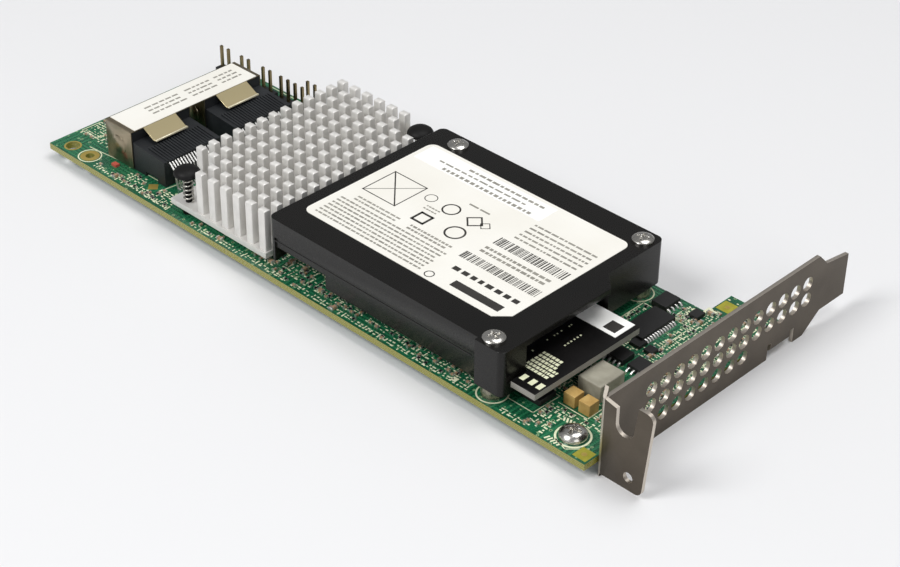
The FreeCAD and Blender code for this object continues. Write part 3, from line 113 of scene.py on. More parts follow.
class CardSizes(bpy.types.PropertyGroup):
    """Sizes of the pieces that are modelled here."""

    fin_long: measure("Fin length", "Heat sink fin along the card", 2.1)
    fin_wide: measure("Fin width", "Heat sink fin across the card", 1.9)
    fin_columns: IntProperty(name="Fin columns", description="Fins along the card", default=8)
    fin_rows: IntProperty(name="Fin rows", description="Fins across the card", default=15)
    fin_margin: measure("Fin margin", "Base plate outside the fins", 0.4)
    fin_corner: measure("Fin corner", "Fin's corner radius", 0.22)
    fin_crown: measure("Fin crown", "Height of a fin's rounded top", 0.95)
    fin_base: measure("Base thickness", "Heat sink base plate", 1.4)
    fins_cleared: IntProperty(name="Fins cleared", description="Fins left out each way at a push pin",
        default=2)
    wire: measure("Spring wire", "Spring wire's diameter", 0.42)
    turns: FloatProperty(name="Spring turns", description="Turns of a push pin's spring", default=6.0)
    vent_radius: measure("Vent radius", "Bracket vent holes", 1.6)
    vent_first: measure("First vent", "First vent from the board's edge", 17.6)
    vent_pitch: measure("Vent pitch", "Vents along the bracket", 4.2)
    vent_row: measure("Vent rows", "Vent rows, one above the other", 3.95)
    vent_low: measure("Lowest vents", "Lowest vents above the plate's edge", 5.25)
    bend_start: measure("Bend start", "Where the plate starts to bend", 4.3)
    bend_depth: measure("Bend depth", "Bend's depth across the card", 0.4)
    slot_side: measure("Slot side", "Flange slot's near side along the card", 172.09)
    lobe_drop: measure("Lobe drop", "Flange's lobe below the plate's edge", 2.0)
    slot_drop: measure("Slot drop", "Extra drop at the slot's side", 0.6)
    screw_radius: measure("Cover screw", "Cover screw's head radius", 2.4)
    seed: IntProperty(name="Seed", description="Seed for the board's small parts and marks", default=11)


class CardColours(bpy.types.PropertyGroup):
    """Colours a user may change."""

    mask: swatch("Solder mask", "Board's mask over copper", "1c6342")
    silk: swatch("Silkscreen", "Printed marks on the board", "e6e8c8")
    cover: swatch("Cover", "Battery cover's plastic", "100e0c")
    paper: swatch("Label", "Label paper", "f1efe8")
    # painted shade: the bracket's colour is darkened to stand in for the dark room that its plating reflects
    bracket: swatch("Bracket", "Bracket's plating", "645c52")
    sink: swatch("Heat sink", "Heat sink's aluminium", "e6e4e0")
    floor: swatch("Floor", "Studio floor", "e4e4e5")


def user_sizes():
    """The user's sizes, with lengths in mm."""
    group = bpy.context.scene.card_sizes
    read = SimpleNamespace()
    for name in group.__annotations__:
        value = getattr(group, name)
        setattr(read, name, value / MM if group.bl_rna.properties[name].unit == "LENGTH" else value)
    return read


# ---------------------------------------------------------------- nodes and finishes

def add(tree, kind, inputs=None, stops=None, **settings):
    """Adds a node with its settings; an input that is a socket is linked, any other is set."""
    node = tree.nodes.new("ShaderNode" + kind)
    for name, value in settings.items():
        setattr(node, name, value)
    for key, value in (inputs or {}).items():
        if isinstance(value, bpy.types.NodeSocket):
            tree.links.new(value, node.inputs[key])
        else:
            node.inputs[key].default_value = value
    for number, (place, shade) in enumerate(stops or ()):
        ramp = node.color_ramp.elements
        stop = ramp[number] if number < 2 else ramp.new(place)
        stop.position = place
        stop.color = shade
    return node


def finish(name, dark, light, rough, metallic=0.0, patch=6.0, grain=0.25, bump=0.02, **shader):
    """A material whose two close colours drift over patches of some mm.

    A fine grain, with its size and depth in mm, dulls and dents it. Returns the material, its tree, the
    shader, coordinates in mm and the colour socket.
    """
    made = bpy.data.materials.new(name)
    made.use_nodes = True
    tree = made.node_tree
    tree.nodes.clear()
    # a noise's values lie mostly between these
    least, most = 0.3, 0.7
    place = add(tree, "TexCoord")
    mm = add(tree, "Mapping", {"Vector": place.outputs["Object"], "Scale": (1 / MM,) * 3})
    drift = add(tree, "TexNoise", {"Vector": mm.outputs[0], "Scale": 1 / patch, "Detail": 3.0})
    tint = add(tree, "ValToRGB", {"Fac": drift.outputs["Fac"]},
               [(least, colour(dark)), (most, colour(light))])
    fine = add(tree, "TexNoise", {"Vector": mm.outputs[0], "Scale": 1 / grain, "Detail": 2.0})
    dull = add(tree, "MapRange", {"Value": fine.outputs["Fac"], "From Min": least, "From Max": most,
                                  "To Min": rough[0], "To Max": rough[1]})
    dent = add(tree, "Bump", {"Height": fine.outputs["Fac"], "Strength": 0.5, "Distance": bump * MM})
    body = add(tree, "BsdfPrincipled", {"Base Color": tint.outputs[0], "Roughness": dull.outputs[0],
                                        "Normal": dent.outputs[0], "Metallic": metallic, **shader})
    add(tree, "OutputMaterial", {"Surface": body.outputs[0]})
    return made, tree, body, mm.outputs[0], tint.outputs[0]


def sawn_sides(tree, mm, face, scale, sway, stops):
    """A laminate's face colour, and on its upright sides the plies that the saw left bare.

    A side is where the normal's upright share is under a half. The plies' bands are 0.314 / scale mm apart.
    """
    facing = add(tree, "NewGeometry")
    up = add(tree, "SeparateXYZ", {"Vector": facing.outputs["True Normal"]})
    tilt = add(tree, "Math", {0: up.outputs[2]}, operation="ABSOLUTE")
    side = add(tree, "Math", {0: tilt.outputs[0], 1: 0.5}, operation="LESS_THAN")
    plies = add(tree, "TexWave", {"Vector": mm, "Scale": scale, "Distortion": sway}, bands_direction="Z")
    sawn = add(tree, "ValToRGB", {"Fac": plies.outputs["Fac"]}, stops)
    both = add(tree, "Mix", {0: side.outputs[0], 6: face, 7: sawn.outputs[0]}, data_type="RGBA")
    return both.outputs[2]


def board_finish():
    """Solder mask over copper and glass laminate: smooth gloss, paler where copper lies under it.

    Cells a few mm across carry parallel tracks one way or the other, vias dot them, and the sawn
    sides show the yellow-green laminate.
    """
    c = bpy.context.scene.card_colours
    made, tree, body, mm, base = finish("Solder mask on glass laminate", "124a32", c.mask, (0.22, 0.34),
                                        patch=5.0, grain=0.4, bump=0.012)
    cell_size, via_gap = 7, 1.9
    cells = add(tree, "TexVoronoi", {"Vector": mm, "Scale": 1 / cell_size}, distance="CHEBYCHEV")
    pick = add(tree, "SeparateColor", {"Color": cells.outputs["Color"]})
    # bands lie 0.314 / scale mm apart: 1.05 mm for tracks along the card and 1.2 mm for those across it
    along = add(tree, "TexWave", {"Vector": mm, "Scale": 0.30, "Distortion": 0.15}, bands_direction="Y")
    across = add(tree, "TexWave", {"Vector": mm, "Scale": 0.26, "Distortion": 0.15}, bands_direction="X")
    lay = add(tree, "Math", {0: pick.outputs[0], 1: 0.5}, operation="GREATER_THAN")
    lines = add(tree, "Mix", {0: lay.outputs[0], 2: along.outputs["Fac"], 3: across.outputs["Fac"]})
    track = add(tree, "Math", {0: lines.outputs[0], 1: 0.62}, operation="GREATER_THAN")
    plain = add(tree, "Math", {0: pick.outputs[1], 1: 0.35}, operation="GREATER_THAN")
    copper = add(tree, "Math", {0: track.outputs[0], 1: plain.outputs[0]}, operation="MULTIPLY")
    tracks = add(tree, "Mix", {0: copper.outputs[0], 6: base, 7: colour("28734d")}, data_type="RGBA")
    # distances from a via's middle are shares of the gap between vias
    bore, pad = colour("0b2a1c"), colour("86a77c")
    dots = add(tree, "TexVoronoi", {"Vector": mm, "Scale": 1 / via_gap})
    ring = add(tree, "ValToRGB", {"Fac": dots.outputs["Distance"]},
               [(0.0, bore), (0.10, bore), (0.105, pad), (0.19, pad), (0.20, colour("000000"))])
    ring.color_ramp.interpolation = "CONSTANT"
    via = add(tree, "Math", {0: dots.outputs["Distance"], 1: 0.2}, operation="LESS_THAN")
    dotted = add(tree, "Mix", {0: via.outputs[0], 6: tracks.outputs[2], 7: ring.outputs[0]},
                 data_type="RGBA")
    sides = sawn_sides(tree, mm, dotted.outputs[2], 0.8, 1.5,
                       [(0.0, colour("6f6c26")), (0.55, colour("8d8a3a")), (1.0, colour("a39f50"))])
    tree.links.new(sides, body.inputs["Base Color"])
    body.inputs["Coat Weight"].default_value = 0.25
    body.inputs["Coat Roughness"].default_value = 0.2
    return made


def deck_finish():
    """Black solder mask on a small board: satin black faces and pale grey sawn sides."""
    made, tree, body, mm, base = finish("Black mask laminate", "080707", "100e0e", (0.32, 0.44), grain=0.4,
                                        **{"Specular IOR Level": 0.3})
    sides = sawn_sides(tree, mm, base, 0.9, 2.0, [(0.0, colour("797771")), (1.0, colour("9f9c94"))])
    tree.links.new(sides, body.inputs["Base Color"])
    return made


def bracket_finish():
    """Dull nickel plating on sheet steel, with painted highlights on the sheared edges of plate, flange and
    vents.

    A face of the plate is a sheared edge where it doesn't look along the card, and one of the flange where
    it doesn't look across the card.
    """
    c = bpy.context.scene.card_colours
    # painted shade: both colours are darker than dull nickel, to stand in for the dark room the plating
    # reflects
    made, tree, body, mm, base = finish("Dull nickel with painted edge highlights", "575047", c.bracket, (0.36, 0.48),
                                        metallic=1.0, patch=9.0, grain=0.12, bump=0.006)
    facing = add(tree, "NewGeometry")
    way = add(tree, "SeparateXYZ", {"Vector": facing.outputs["True Normal"]})
    along = add(tree, "Math", {0: way.outputs[0]}, operation="ABSOLUTE")
    across = add(tree, "Math", {0: way.outputs[1]}, operation="ABSOLUTE")
    where = add(tree, "SeparateXYZ", {"Vector": mm})
    # the flange is what lies within this many mm of the bracket's outer end
    flange_depth = 11.6
    bend = CORNER[0] / MM + span("bracket")[1][0] - flange_depth
    flange = add(tree, "Math", {0: where.outputs[0], 1: bend}, operation="GREATER_THAN")
    look = add(tree, "Mix", {0: flange.outputs[0], 2: along.outputs[0], 3: across.outputs[0]})
    # painted highlight: faces counted as sheared edges take a pale colour for the light they catch
    edge = add(tree, "Math", {0: look.outputs[0], 1: 0.8}, operation="LESS_THAN")
    both = add(tree, "Mix", {0: edge.outputs[0], 6: base, 7: colour("cdc4b8")}, data_type="RGBA")
    tree.links.new(both.outputs[2], body.inputs["Base Color"])
    return made


def shell_finish():
    """Nickel-plated sheet with a faint drift of tone and a fine grain; the rear flaps have a matt cream-gold
    tone.
    """
    made, tree, body, mm, base = finish("Nickel-plated sheet", "8f8470", "a99d86", (0.28, 0.42),
                                        metallic=1.0, patch=4.0, grain=0.2)
    # the rear flaps start this many mm along the card from the shell's first edge
    flap_start = 9.4
    where = add(tree, "SeparateXYZ", {"Vector": mm})
    back = CORNER[0] / MM + span("sas_shell_a")[0][0] + flap_start
    flap = add(tree, "Math", {0: where.outputs[0], 1: back}, operation="GREATER_THAN")
    tone = add(tree, "ValToRGB", {"Fac": where.outputs[2]},
               [(0.0, colour("b3a57d")), (1.0, colour("c2b48c"))])
    both = add(tree, "Mix", {0: flap.outputs[0], 6: base, 7: tone.outputs[0]}, data_type="RGBA")
    shine = add(tree, "MapRange", {"Value": flap.outputs[0], "To Min": 1.0, "To Max": 0.55})
    tree.links.new(both.outputs[2], body.inputs["Base Color"])
    tree.links.new(shine.outputs[0], body.inputs["Metallic"])
    return made


def make_finishes():
    """Every finish by a short key."""
    c = bpy.context.scene.card_colours
    return {
        # these three say what they are in their own functions
        "board": board_finish(),
        "deck": deck_finish(),
        "shell": shell_finish(),
        # electroplated gold over nickel: warm and bright
        "gold": finish("Gold-plated contact", "c79a3c", "dbb45a", (0.18, 0.3), metallic=1.0)[0],
        # header posts: thin dull gold
        "post": finish("Dull gold post", "7b6e50", "9d8e6a", (0.24, 0.36), metallic=1.0)[0],
        # annular rings and lands in the mask's openings, flat and warm
        "land": finish("Gilded copper land", "b9a24c", "cdb565", (0.3, 0.42), metallic=0.6, grain=0.3)[0],
        # sheet steel, barrel plated with dull nickel: satin brown-grey with a fine tooth, darkened as
        # painted shade for the dark room the metal reflects
        "bracket": bracket_finish(),
        # turned and plated screws: bright, slightly blurred
        "screw": finish("Bright nickel screw", "b9b6b0", "d2d0cb", (0.2, 0.3), metallic=1.0,
                        grain=0.3, bump=0.002)[0],
        # painted highlight: the flaps' rolled ends take a pale colour for the light they catch
        "lip": finish("Rolled flap end, painted highlight", "ddd3b2", "efe7cb", (0.25, 0.35), metallic=0.4)[0],
        # glass-filled polyamide: near black, dull, fine flow marks
        "housing": finish("Glass-filled polyamide", "15171a", "212427", (0.42, 0.6), grain=0.15,
                          bump=0.03)[0],
        # solder-dipped tails: pale and soft
        "tin": finish("Tinned contact", "d4d3cf", "e9e8e4", (0.28, 0.4), metallic=0.85, grain=0.2)[0],
        # coated label paper: off-white with hardly any tooth
        "paper": finish("Coated label paper", "ebe8df", c.paper, (0.42, 0.52), patch=16.0,
                        grain=0.1, bump=0.004)[0],
        # a second, whiter label laid over the first
        "strip": finish("White overlay label", "f8f8f4", "fdfdfa", (0.35, 0.45), grain=0.1, bump=0.004)[0],
        # printing ink, flat and nearly black
        "ink": finish("Thermal print ink", "23211e", "35322e", (0.55, 0.65))[0],
        # the same ink in strokes too thin to see one by one: mid grey
        "grey_ink": finish("Thin grey print", "86837b", "9b988f", (0.55, 0.65))[0],
        # extruded and sawn aluminium, tumbled: pale grey, half metal, with a fine tooth
        "sink": finish("Tumbled aluminium", "d8d6d2", c.sink, (0.38, 0.5), metallic=0.35, patch=3.0,
                       grain=0.18, bump=0.012)[0],
        # acetal push pins: dense black with a dull sheen
        "pin": finish("Black acetal", "080707", "0d0c0b", (0.5, 0.62), grain=0.2, bump=0.006,
                      **{"Specular IOR Level": 0.25})[0],
        # drawn spring wire
        "spring": finish("Drawn spring wire", "b3b0a9", "cfccc5", (0.22, 0.34), metallic=1.0)[0],
        # moulded epoxy chips: charcoal, matt, gritty
        "chip": finish("Moulded epoxy", "131313", "1d1c1c", (0.45, 0.58), grain=0.12, bump=0.01)[0],
        # green laminate of the controller's package, under the heat sink: dark and dull
        "package": finish("Chip package", "2b3a30", "35463a", (0.45, 0.6))[0],
        # filled silicone pad, cut from sheet: grey and quite matt
        "rubber": finish("Thermal rubber", "8f8f96", "a0a0a6", (0.7, 0.8))[0],
        # spark-eroded mould texture on the battery cover: near black, satin
        "cover": finish("Satin moulded ABS", "0b0a08", c.cover, (0.24, 0.34), patch=14.0, grain=0.16,
                        bump=0.004, **{"Specular IOR Level": 0.32})[0],
        # heat-shrunk film on the battery cell: slate blue with a soft gloss
        "wrap": finish("Cell wrap", "3b4a63", "45567a", (0.35, 0.5))[0],
        # moulded nylon under the header posts: near black and dull
        "header": finish("Header insulator", "17181a", "222326", (0.45, 0.6))[0],
        # ferrite powder core, pressed: beige-grey and chalky
        "inductor": finish("Pressed ferrite", "8f8b7c", "a5a191", (0.55, 0.7), patch=2.5, grain=0.12,
                           bump=0.03)[0],
        # tantalum capacitors: tan resin
        "capacitor": finish("Tan capacitor resin", "b08b4a", "c9a866", (0.45, 0.58), patch=2.0)[0],
        # fired ceramic body of a chip capacitor: tan-brown and mostly matt
        "ceramic": finish("Ceramic chip capacitor", "8a6f52", "b2977a", (0.5, 0.6), patch=2.0)[0],
        # glass glaze over a chip resistor: black with a small gloss
        "resistor": finish("Chip resistor glaze", "141414", "242323", (0.3, 0.4))[0],
        # cast resin of the lamp: red with a soft gloss
        "red": finish("Red lamp resin", "b4473c", "d06a58", (0.3, 0.4))[0],
        # epoxy ink, printed through a screen: cream with soft edges
        "silk": finish("Silkscreen ink", "d9dcb8", c.silk, (0.5, 0.6), patch=2.0, grain=0.2)[0],
        # turned standoff, nickel plated: warm grey and bright
        "brass": finish("Nickel-plated standoff", "8f8b7c", "aaa696", (0.25, 0.35), metallic=1.0)[0],
        # laminate laid bare round a mark: olive and smooth
        "olive": finish("Bare laminate land", "8f8a24", "aaa43a", (0.3, 0.42), patch=2.0)[0],
    }


FINISH = {}
NODE_FINISH = {
    "main_board": "board", "edge_fingers": "gold", "bracket": "bracket", "bracket_screw": "screw",
    "sas_shell_a": "shell", "sas_shell_b": "shell", "sas_housing_a": "housing", "sas_housing_b": "housing",
    "sas_contacts_a": "tin", "sas_contacts_b": "tin", "connector_label": "paper", "heat_sink": "sink",
    "push_pin_a": "pin", "push_pin_b": "pin", "push_pin_spring_a": "spring", "push_pin_spring_b": "spring",
    "controller_chip": "package", "thermal_pad": "rubber", "memory_chips": "chip", "battery_cover": "cover",
    "battery_standoffs": "brass", "battery_cover_screws": "screw", "battery_cell": "wrap",
    "battery_board": "deck", "board_receptacle": "housing", "board_plug": "housing",
    "battery_label": "paper", "board_sticker": "strip", "header_bases": "header", "header_pins": "post",
    "inductor": "inductor", "capacitors": "capacitor", "soic_chips": "chip", "driver_chip": "chip",
    "monitor_chip": "chip",
}


# ---------------------------------------------------------------- shapes

def placed(name, data):
    """An object for a mesh, lamp or camera, linked to the scene."""
    made = bpy.data.objects.new(name, data)
    bpy.context.scene.collection.objects.link(made)
    return made


def piece(name, points, faces, key, slot, angle=35.0):
    """A mesh piece at the origin that rides on the card."""
    mesh = bpy.data.meshes.new(name)
    corners = [face for group in faces for face in np.asarray(group).tolist()]
    mesh.from_pydata(np.asarray(points).tolist(), [], corners)
    mesh.shade_smooth()
    mesh.set_sharp_from_angle(angle=math.radians(angle))
    made = placed(name, mesh)
    mesh.materials.append(FINISH[key])
    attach(made, "root")
    return made


def skin(rings, start, end, places):
    """Points and faces of closed rings laid one after another and closed by a pole at each end.

    A ring's points run anticlockwise seen from the end, and the whole is repeated at each place.
    """
    rings = np.asarray(rings, float)
    count, around, _ = rings.shape
    points = np.concatenate([rings.reshape(-1, 3), [start], [end]])
    row = np.arange(count - 1)[:, None] * around
    j = np.arange(around)
    k = (j + 1) % around
    quads = np.stack([row + j, row + k, row + around + k, row + around + j], -1).reshape(-1, 4)
    first = np.full(around, count * around)
    last = (count - 1) * around
    fans = np.concatenate([np.stack([k, j, first], -1), np.stack([last + j, last + k, first + 1], -1)])
    places = np.asarray(places, float)
    shift = np.arange(len(places))[:, None, None] * len(points)
    every = (points[None] + places[:, None]).reshape(-1, 3)
    return every, [(quads[None] + shift).reshape(-1, 4), (fans[None] + shift).reshape(-1, 3)]


def lathe(profile, around):
    """Rings of a surface of revolution: each (radius, height) in mm, swept round the upright axis."""
    radius, height = np.array(profile, float).T * MM
    turn = np.arange(around) * 2 * math.pi / around
    reach = radius[:, None]
    level = np.repeat(height[:, None], around, 1)
    return np.stack([reach * np.cos(turn), reach * np.sin(turn), level], -1)


def slabs(low, high, turn=None):
    """Points and faces of upright boxes from their low and high corners, mm on the card.

    Each may be turned about its own middle by an angle in radians.
    """
    low, high = np.atleast_2d(low).astype(float), np.atleast_2d(high).astype(float)
    unit = np.array([[0, 0, 0], [1, 0, 0], [1, 1, 0], [0, 1, 0],
                     [0, 0, 1], [1, 0, 1], [1, 1, 1], [0, 1, 1]])
    middle = (low + high)[:, None] / 2
    part = (unit[None] - 0.5) * (high - low)[:, None]
    if turn is not None:
        c, s = np.cos(turn)[:, None], np.sin(turn)[:, None]
        x, y, z = np.moveaxis(part, -1, 0)
        part = np.stack([x * c - y * s, x * s + y * c, z], -1)
    every = card(*np.moveaxis(middle + part, -1, 0)).reshape(-1, 3)
    quad = np.array([[0, 3, 2, 1], [4, 5, 6, 7], [0, 1, 5, 4], [1, 2, 6, 5], [2, 3, 7, 6], [3, 0, 4, 7]])
    return every, [(np.arange(len(low))[:, None, None] * 8 + quad).reshape(-1, 4)]

def flat_marks(rows, z, thick=0.02):
    """Thin printed marks, mm on the card, each turned about its own middle.

    A row is (x, y, length, width, degrees).
    """
    rows = np.array(rows, float)
    half = rows[:, 2:4] / 2
    low = np.column_stack([rows[:, :2] - half, np.full(len(rows), z)])
    high = np.column_stack([rows[:, :2] + half, np.full(len(rows), z + thick)])
    return slabs(low, high, np.radians(rows[:, 4]))


def strokes(path, width):
    """Marks along a chain of points: each run as a bar, (x, y, length, width, degrees)."""
    path = np.array(path, float)
    step = path[1:] - path[:-1]
    length = np.hypot(*step.T) + width
    middle = (path[1:] + path[:-1]) / 2
    turn = np.degrees(np.arctan2(step[:, 1], step[:, 0]))
    return np.column_stack([middle, length, np.full(len(step), width), turn]).tolist()


def outline(x0, y0, x1, y1):
    """The path round a rectangle, back to its first corner."""
    return [(x0, y0), (x1, y0), (x1, y1), (x0, y1), (x0, y0)]


def hoops(rows, z, thick=0.02, around=36):
    """Flat rings: rows of (x, y, inner radius, outer radius); a low rectangular section swept round."""
    found, quads, start = [], [], 0
    for x, y, inner, outer in rows:
        turn = np.arange(around) * 2 * math.pi / around
        radius = np.array([inner, outer, outer, inner])
        level = np.array([z, z, z + thick, z + thick])
        points = card(x + np.cos(turn)[:, None] * radius, y + np.sin(turn)[:, None] * radius, level)
        i = np.arange(around)[:, None] * 4
        n = (np.arange(around)[:, None] + 1) % around * 4
        s = np.arange(4)
        t = (s + 1) % 4
        found.append(points.reshape(-1, 3))
        quads.append(np.stack([i + s, n + s, n + t, i + t], -1).reshape(-1, 4) + start)
        start += around * 4
    return np.concatenate(found), [np.concatenate(quads)]


def joined(*parts):
    """Several (points, faces) as one."""
    points, faces, start = [], [], 0
    for some, groups in parts:
        points.append(some)
        faces += [np.asarray(g) + start for g in groups]
        start += len(some)
    return np.concatenate(points), faces


def rounded(made, width, segments):
    """Rounds a piece's sharp edges by that many mm."""
    bevel = made.modifiers.new("Rounded edges", "BEVEL")
    bevel.width = width * MM
    bevel.segments = segments
    bevel.limit_method = "ANGLE"
    bevel.angle_limit = math.radians(40)
    bevel.use_clamp_overlap = True


def softened(node, width, key, segments=2, vents=False, leads=False):
    """A welded copy of a CAD node with its edges rounded by that many mm.

    With vents, the bracket's vents are made rounder and its lobe is lowered. With leads, what stands out
    past a body's top is tinned.
    """
    mesh = bpy.data.meshes.new(node + "_dressed")
    work = bmesh.new()
    work.from_mesh(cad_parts[node].data)
    bmesh.ops.remove_doubles(work, verts=work.verts, dist=1e-6)
    bmesh.ops.dissolve_limit(work, angle_limit=math.radians(1), verts=work.verts, edges=work.edges)
    if vents:
        divide_vents(work)
    work.to_mesh(mesh)
    work.free()
    if vents:
        shape_bracket(mesh)
    mesh.materials.clear()
    mesh.materials.append(FINISH[key])
    if leads:
        mesh.materials.append(FINISH["tin"])
        mesh.polygons.foreach_set("material_index", faces_beyond_tops(mesh))
    mesh.shade_smooth()
    mesh.set_sharp_from_angle(angle=math.radians(50))
    made = placed(node + "_dressed", mesh)
    rounded(made, width, segments)
    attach(made, "root")
    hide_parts(node)
    return made


def faces_beyond_tops(mesh, slack=0.05):
    """One for each face that lies outside the top outline of its own body, as a chip's leads do.

    The others get nought. Every vertex takes the lowest number among its neighbours until no number
    changes, which numbers the bodies.
    """
    edges = np.array([e.vertices[:] for e in mesh.edges])
    places = np.array([v.co[:] for v in mesh.vertices]) / MM
    faces = np.array([p.center[:] for p in mesh.polygons]) / MM
    first = np.array([p.vertices[0] for p in mesh.polygons])
    body = np.arange(len(places))
    while True:
        least = np.minimum(body[edges[:, 0]], body[edges[:, 1]])
        after = body.copy()
        np.minimum.at(after, edges[:, 0], least)
        np.minimum.at(after, edges[:, 1], least)
        if (after == body).all():
            break
        body = after
    beyond = np.zeros(len(faces), bool)
    for number in np.unique(body):
        own = places[body == number]
        top = own[own[:, 2] > own[:, 2].max() - slack, :2]
        mine = body[first] == number
        flat = faces[mine, :2]
        beyond[mine] = ((flat < top.min(0) - slack) | (flat > top.max(0) + slack)).any(1)
    return beyond.astype(np.int32)


VENT_COLUMNS = 14
VENT_ROWS = 3
# a vent's points lie between these shares of its radius before it is made round
VENT_INSIDE = 0.9
VENT_OUTSIDE = 1.02


def nearest_vent(places):
    """The distance from each place to the nearest vent's middle, that vent's number and the way from it."""
    s = user_sizes()
    middle_y = s.vent_first + s.vent_pitch * np.arange(VENT_COLUMNS)
    middle_z = span("bracket")[0][2] + s.vent_low + s.vent_row * np.arange(VENT_ROWS)
    spots = np.array([(y, z) for y in middle_y for z in middle_z])
    away = places[:, None, 1:] - spots[None]
    gap = np.hypot(away[..., 0], away[..., 1])
    best = gap.argmin(1)
    return gap.min(1), best, away[np.arange(len(places)), best]


def divide_vents(work):
    """Divides each side of the vents' outlines in three."""
    work.verts.ensure_lookup_table()
    gap, best, _ = nearest_vent((np.array([v.co for v in work.verts]) - CORNER) / MM)
    rim = gap < user_sizes().vent_radius * VENT_OUTSIDE
    ends = np.array([[v.index for v in e.verts] for e in work.edges])
    flat = np.array([abs(e.verts[0].co.x - e.verts[1].co.x) < 1e-6 for e in work.edges])
    same = best[ends[:, 0]] == best[ends[:, 1]]
    work.edges.ensure_lookup_table()
    sides = [work.edges[i] for i in np.flatnonzero(rim[ends].all(1) & flat & same)]
    bmesh.ops.subdivide_edges(work, edges=sides, cuts=2, use_grid_fill=True)


def shape_bracket(mesh):
    """Puts the vents' points on true circles and sets the flange's lobe lower than the plate's upper edge.

    A vent's point keeps its direction from the middle and takes the vent's radius. The lobe's drop grows
    evenly from nought at the bend's start to its full depth across the bend, and is deeper at the slot.
    """
    s = user_sizes()
    points = np.empty(len(mesh.vertices) * 3, np.float32)
    mesh.vertices.foreach_get("co", points)
    points = points.reshape(-1, 3)
    places = (points - CORNER) / MM
    gap, _, away = nearest_vent(places)
    rim = (gap < s.vent_radius * VENT_OUTSIDE) & (gap > s.vent_radius * VENT_INSIDE)
    points[rim, 1:] += away[rim] * (s.vent_radius / gap[rim] - 1)[:, None] * MM
    x, y, z = places.T
    # how far the lobe's points lie below the upper edge and past the slot's side, and where the slot starts
    edge_band, past_slot, before_slot = 0.3, 0.1, 0.2
    lobe = (z > span("bracket")[1][2] - edge_band) & (x < s.slot_side + past_slot)
    share = np.clip((s.bend_start - y) / s.bend_depth, 0.0, 1.0)
    drop = share * (s.lobe_drop + np.where(x > s.slot_side - before_slot, s.slot_drop, 0.0))
    points[lobe, 2] -= drop[lobe] * MM
    mesh.vertices.foreach_set("co", points.ravel())
    mesh.update()


# ---------------------------------------------------------------- pieces

class CARD_OT_finishes(bpy.types.Operator):
    """Makes the finishes and gives each part of the card its own."""

    bl_idname = "card.finishes"
    bl_label = "Finishes"

    def execute(self, context):
        FINISH.update(make_finishes())
        for name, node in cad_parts.items():
            node.data.materials.clear()
            node.data.materials.append(FINISH[NODE_FINISH[name]])
        return {"FINISHED"}


class CARD_OT_heat_sink(bpy.types.Operator):
    """Makes the pin-fin heat sink with rounded fin tops."""

    bl_idname = "card.heat_sink"
    bl_label = "Heat Sink"

    def execute(self, context):
        s = user_sizes()
        low, high = span("heat_sink")
        base_top = low[2] + s.fin_base
        length = high[0] - low[0] - 2 * s.fin_margin
        width = high[1] - low[1] - 2 * s.fin_margin
        column, row = np.meshgrid(np.arange(s.fin_columns), np.arange(s.fin_rows), indexing="ij")
        near = (column < s.fins_cleared) & (row < s.fins_cleared)
        far = (column >= s.fin_columns - s.fins_cleared) & (row >= s.fin_rows - s.fins_cleared)
        keep = ~(near | far)
        pitch_x = (length - s.fin_long) / (s.fin_columns - 1)
        pitch_y = (width - s.fin_wide) / (s.fin_rows - 1)
        x = low[0] + s.fin_margin + s.fin_long / 2 + column[keep] * pitch_x
        y = low[1] + s.fin_margin + s.fin_wide / 2 + row[keep] * pitch_y
        tall = high[2] - base_top
        # a fin's outline is a rectangle with small round corners, and its foot is sunk in the base plate;
        # its top is part of an ellipse across the card: it falls by the crown's height times
        # 1 - sqrt(1 - d * d), where d is the distance across over a little more than the half width
        sunk, wider = 0.2, 1.02
        half = np.array([s.fin_long, s.fin_wide]) / 2
        turn = np.array([0.0, math.pi / 4, math.pi / 2])
        corner = s.fin_corner * np.column_stack([np.cos(turn), np.sin(turn)])
        flip = np.array([[1, 1], [-1, 1], [-1, -1], [1, -1]])
        arc = np.stack([corner, corner[::-1], corner, corner[::-1]]) + half - s.fin_corner
        edge = (arc * flip[:, None]).reshape(-1, 2)
        share = np.array([1.0, 1.0, 0.8, 0.5, 0.22])[:, None]
        across = edge[None, :, 1] * share
        crown = tall - s.fin_crown * (1 - np.sqrt(1 - (across / (half[1] * wider)) ** 2))
        crown[0] = -sunk
        rings = np.stack([edge[None, :, 0] * share, across, crown], -1) * MM
        places = card(x, y, base_top)
        fins = skin(rings, (0, 0, -sunk * MM), (0, 0, tall * MM), places)
        plate = slabs([low[0], low[1], low[2]], [high[0], high[1], base_top])
        made = piece("heat_sink_dressed", *joined(fins, plate), "sink", "sink_aluminium", angle=50)
        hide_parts("heat_sink")
        return {"FINISHED"}


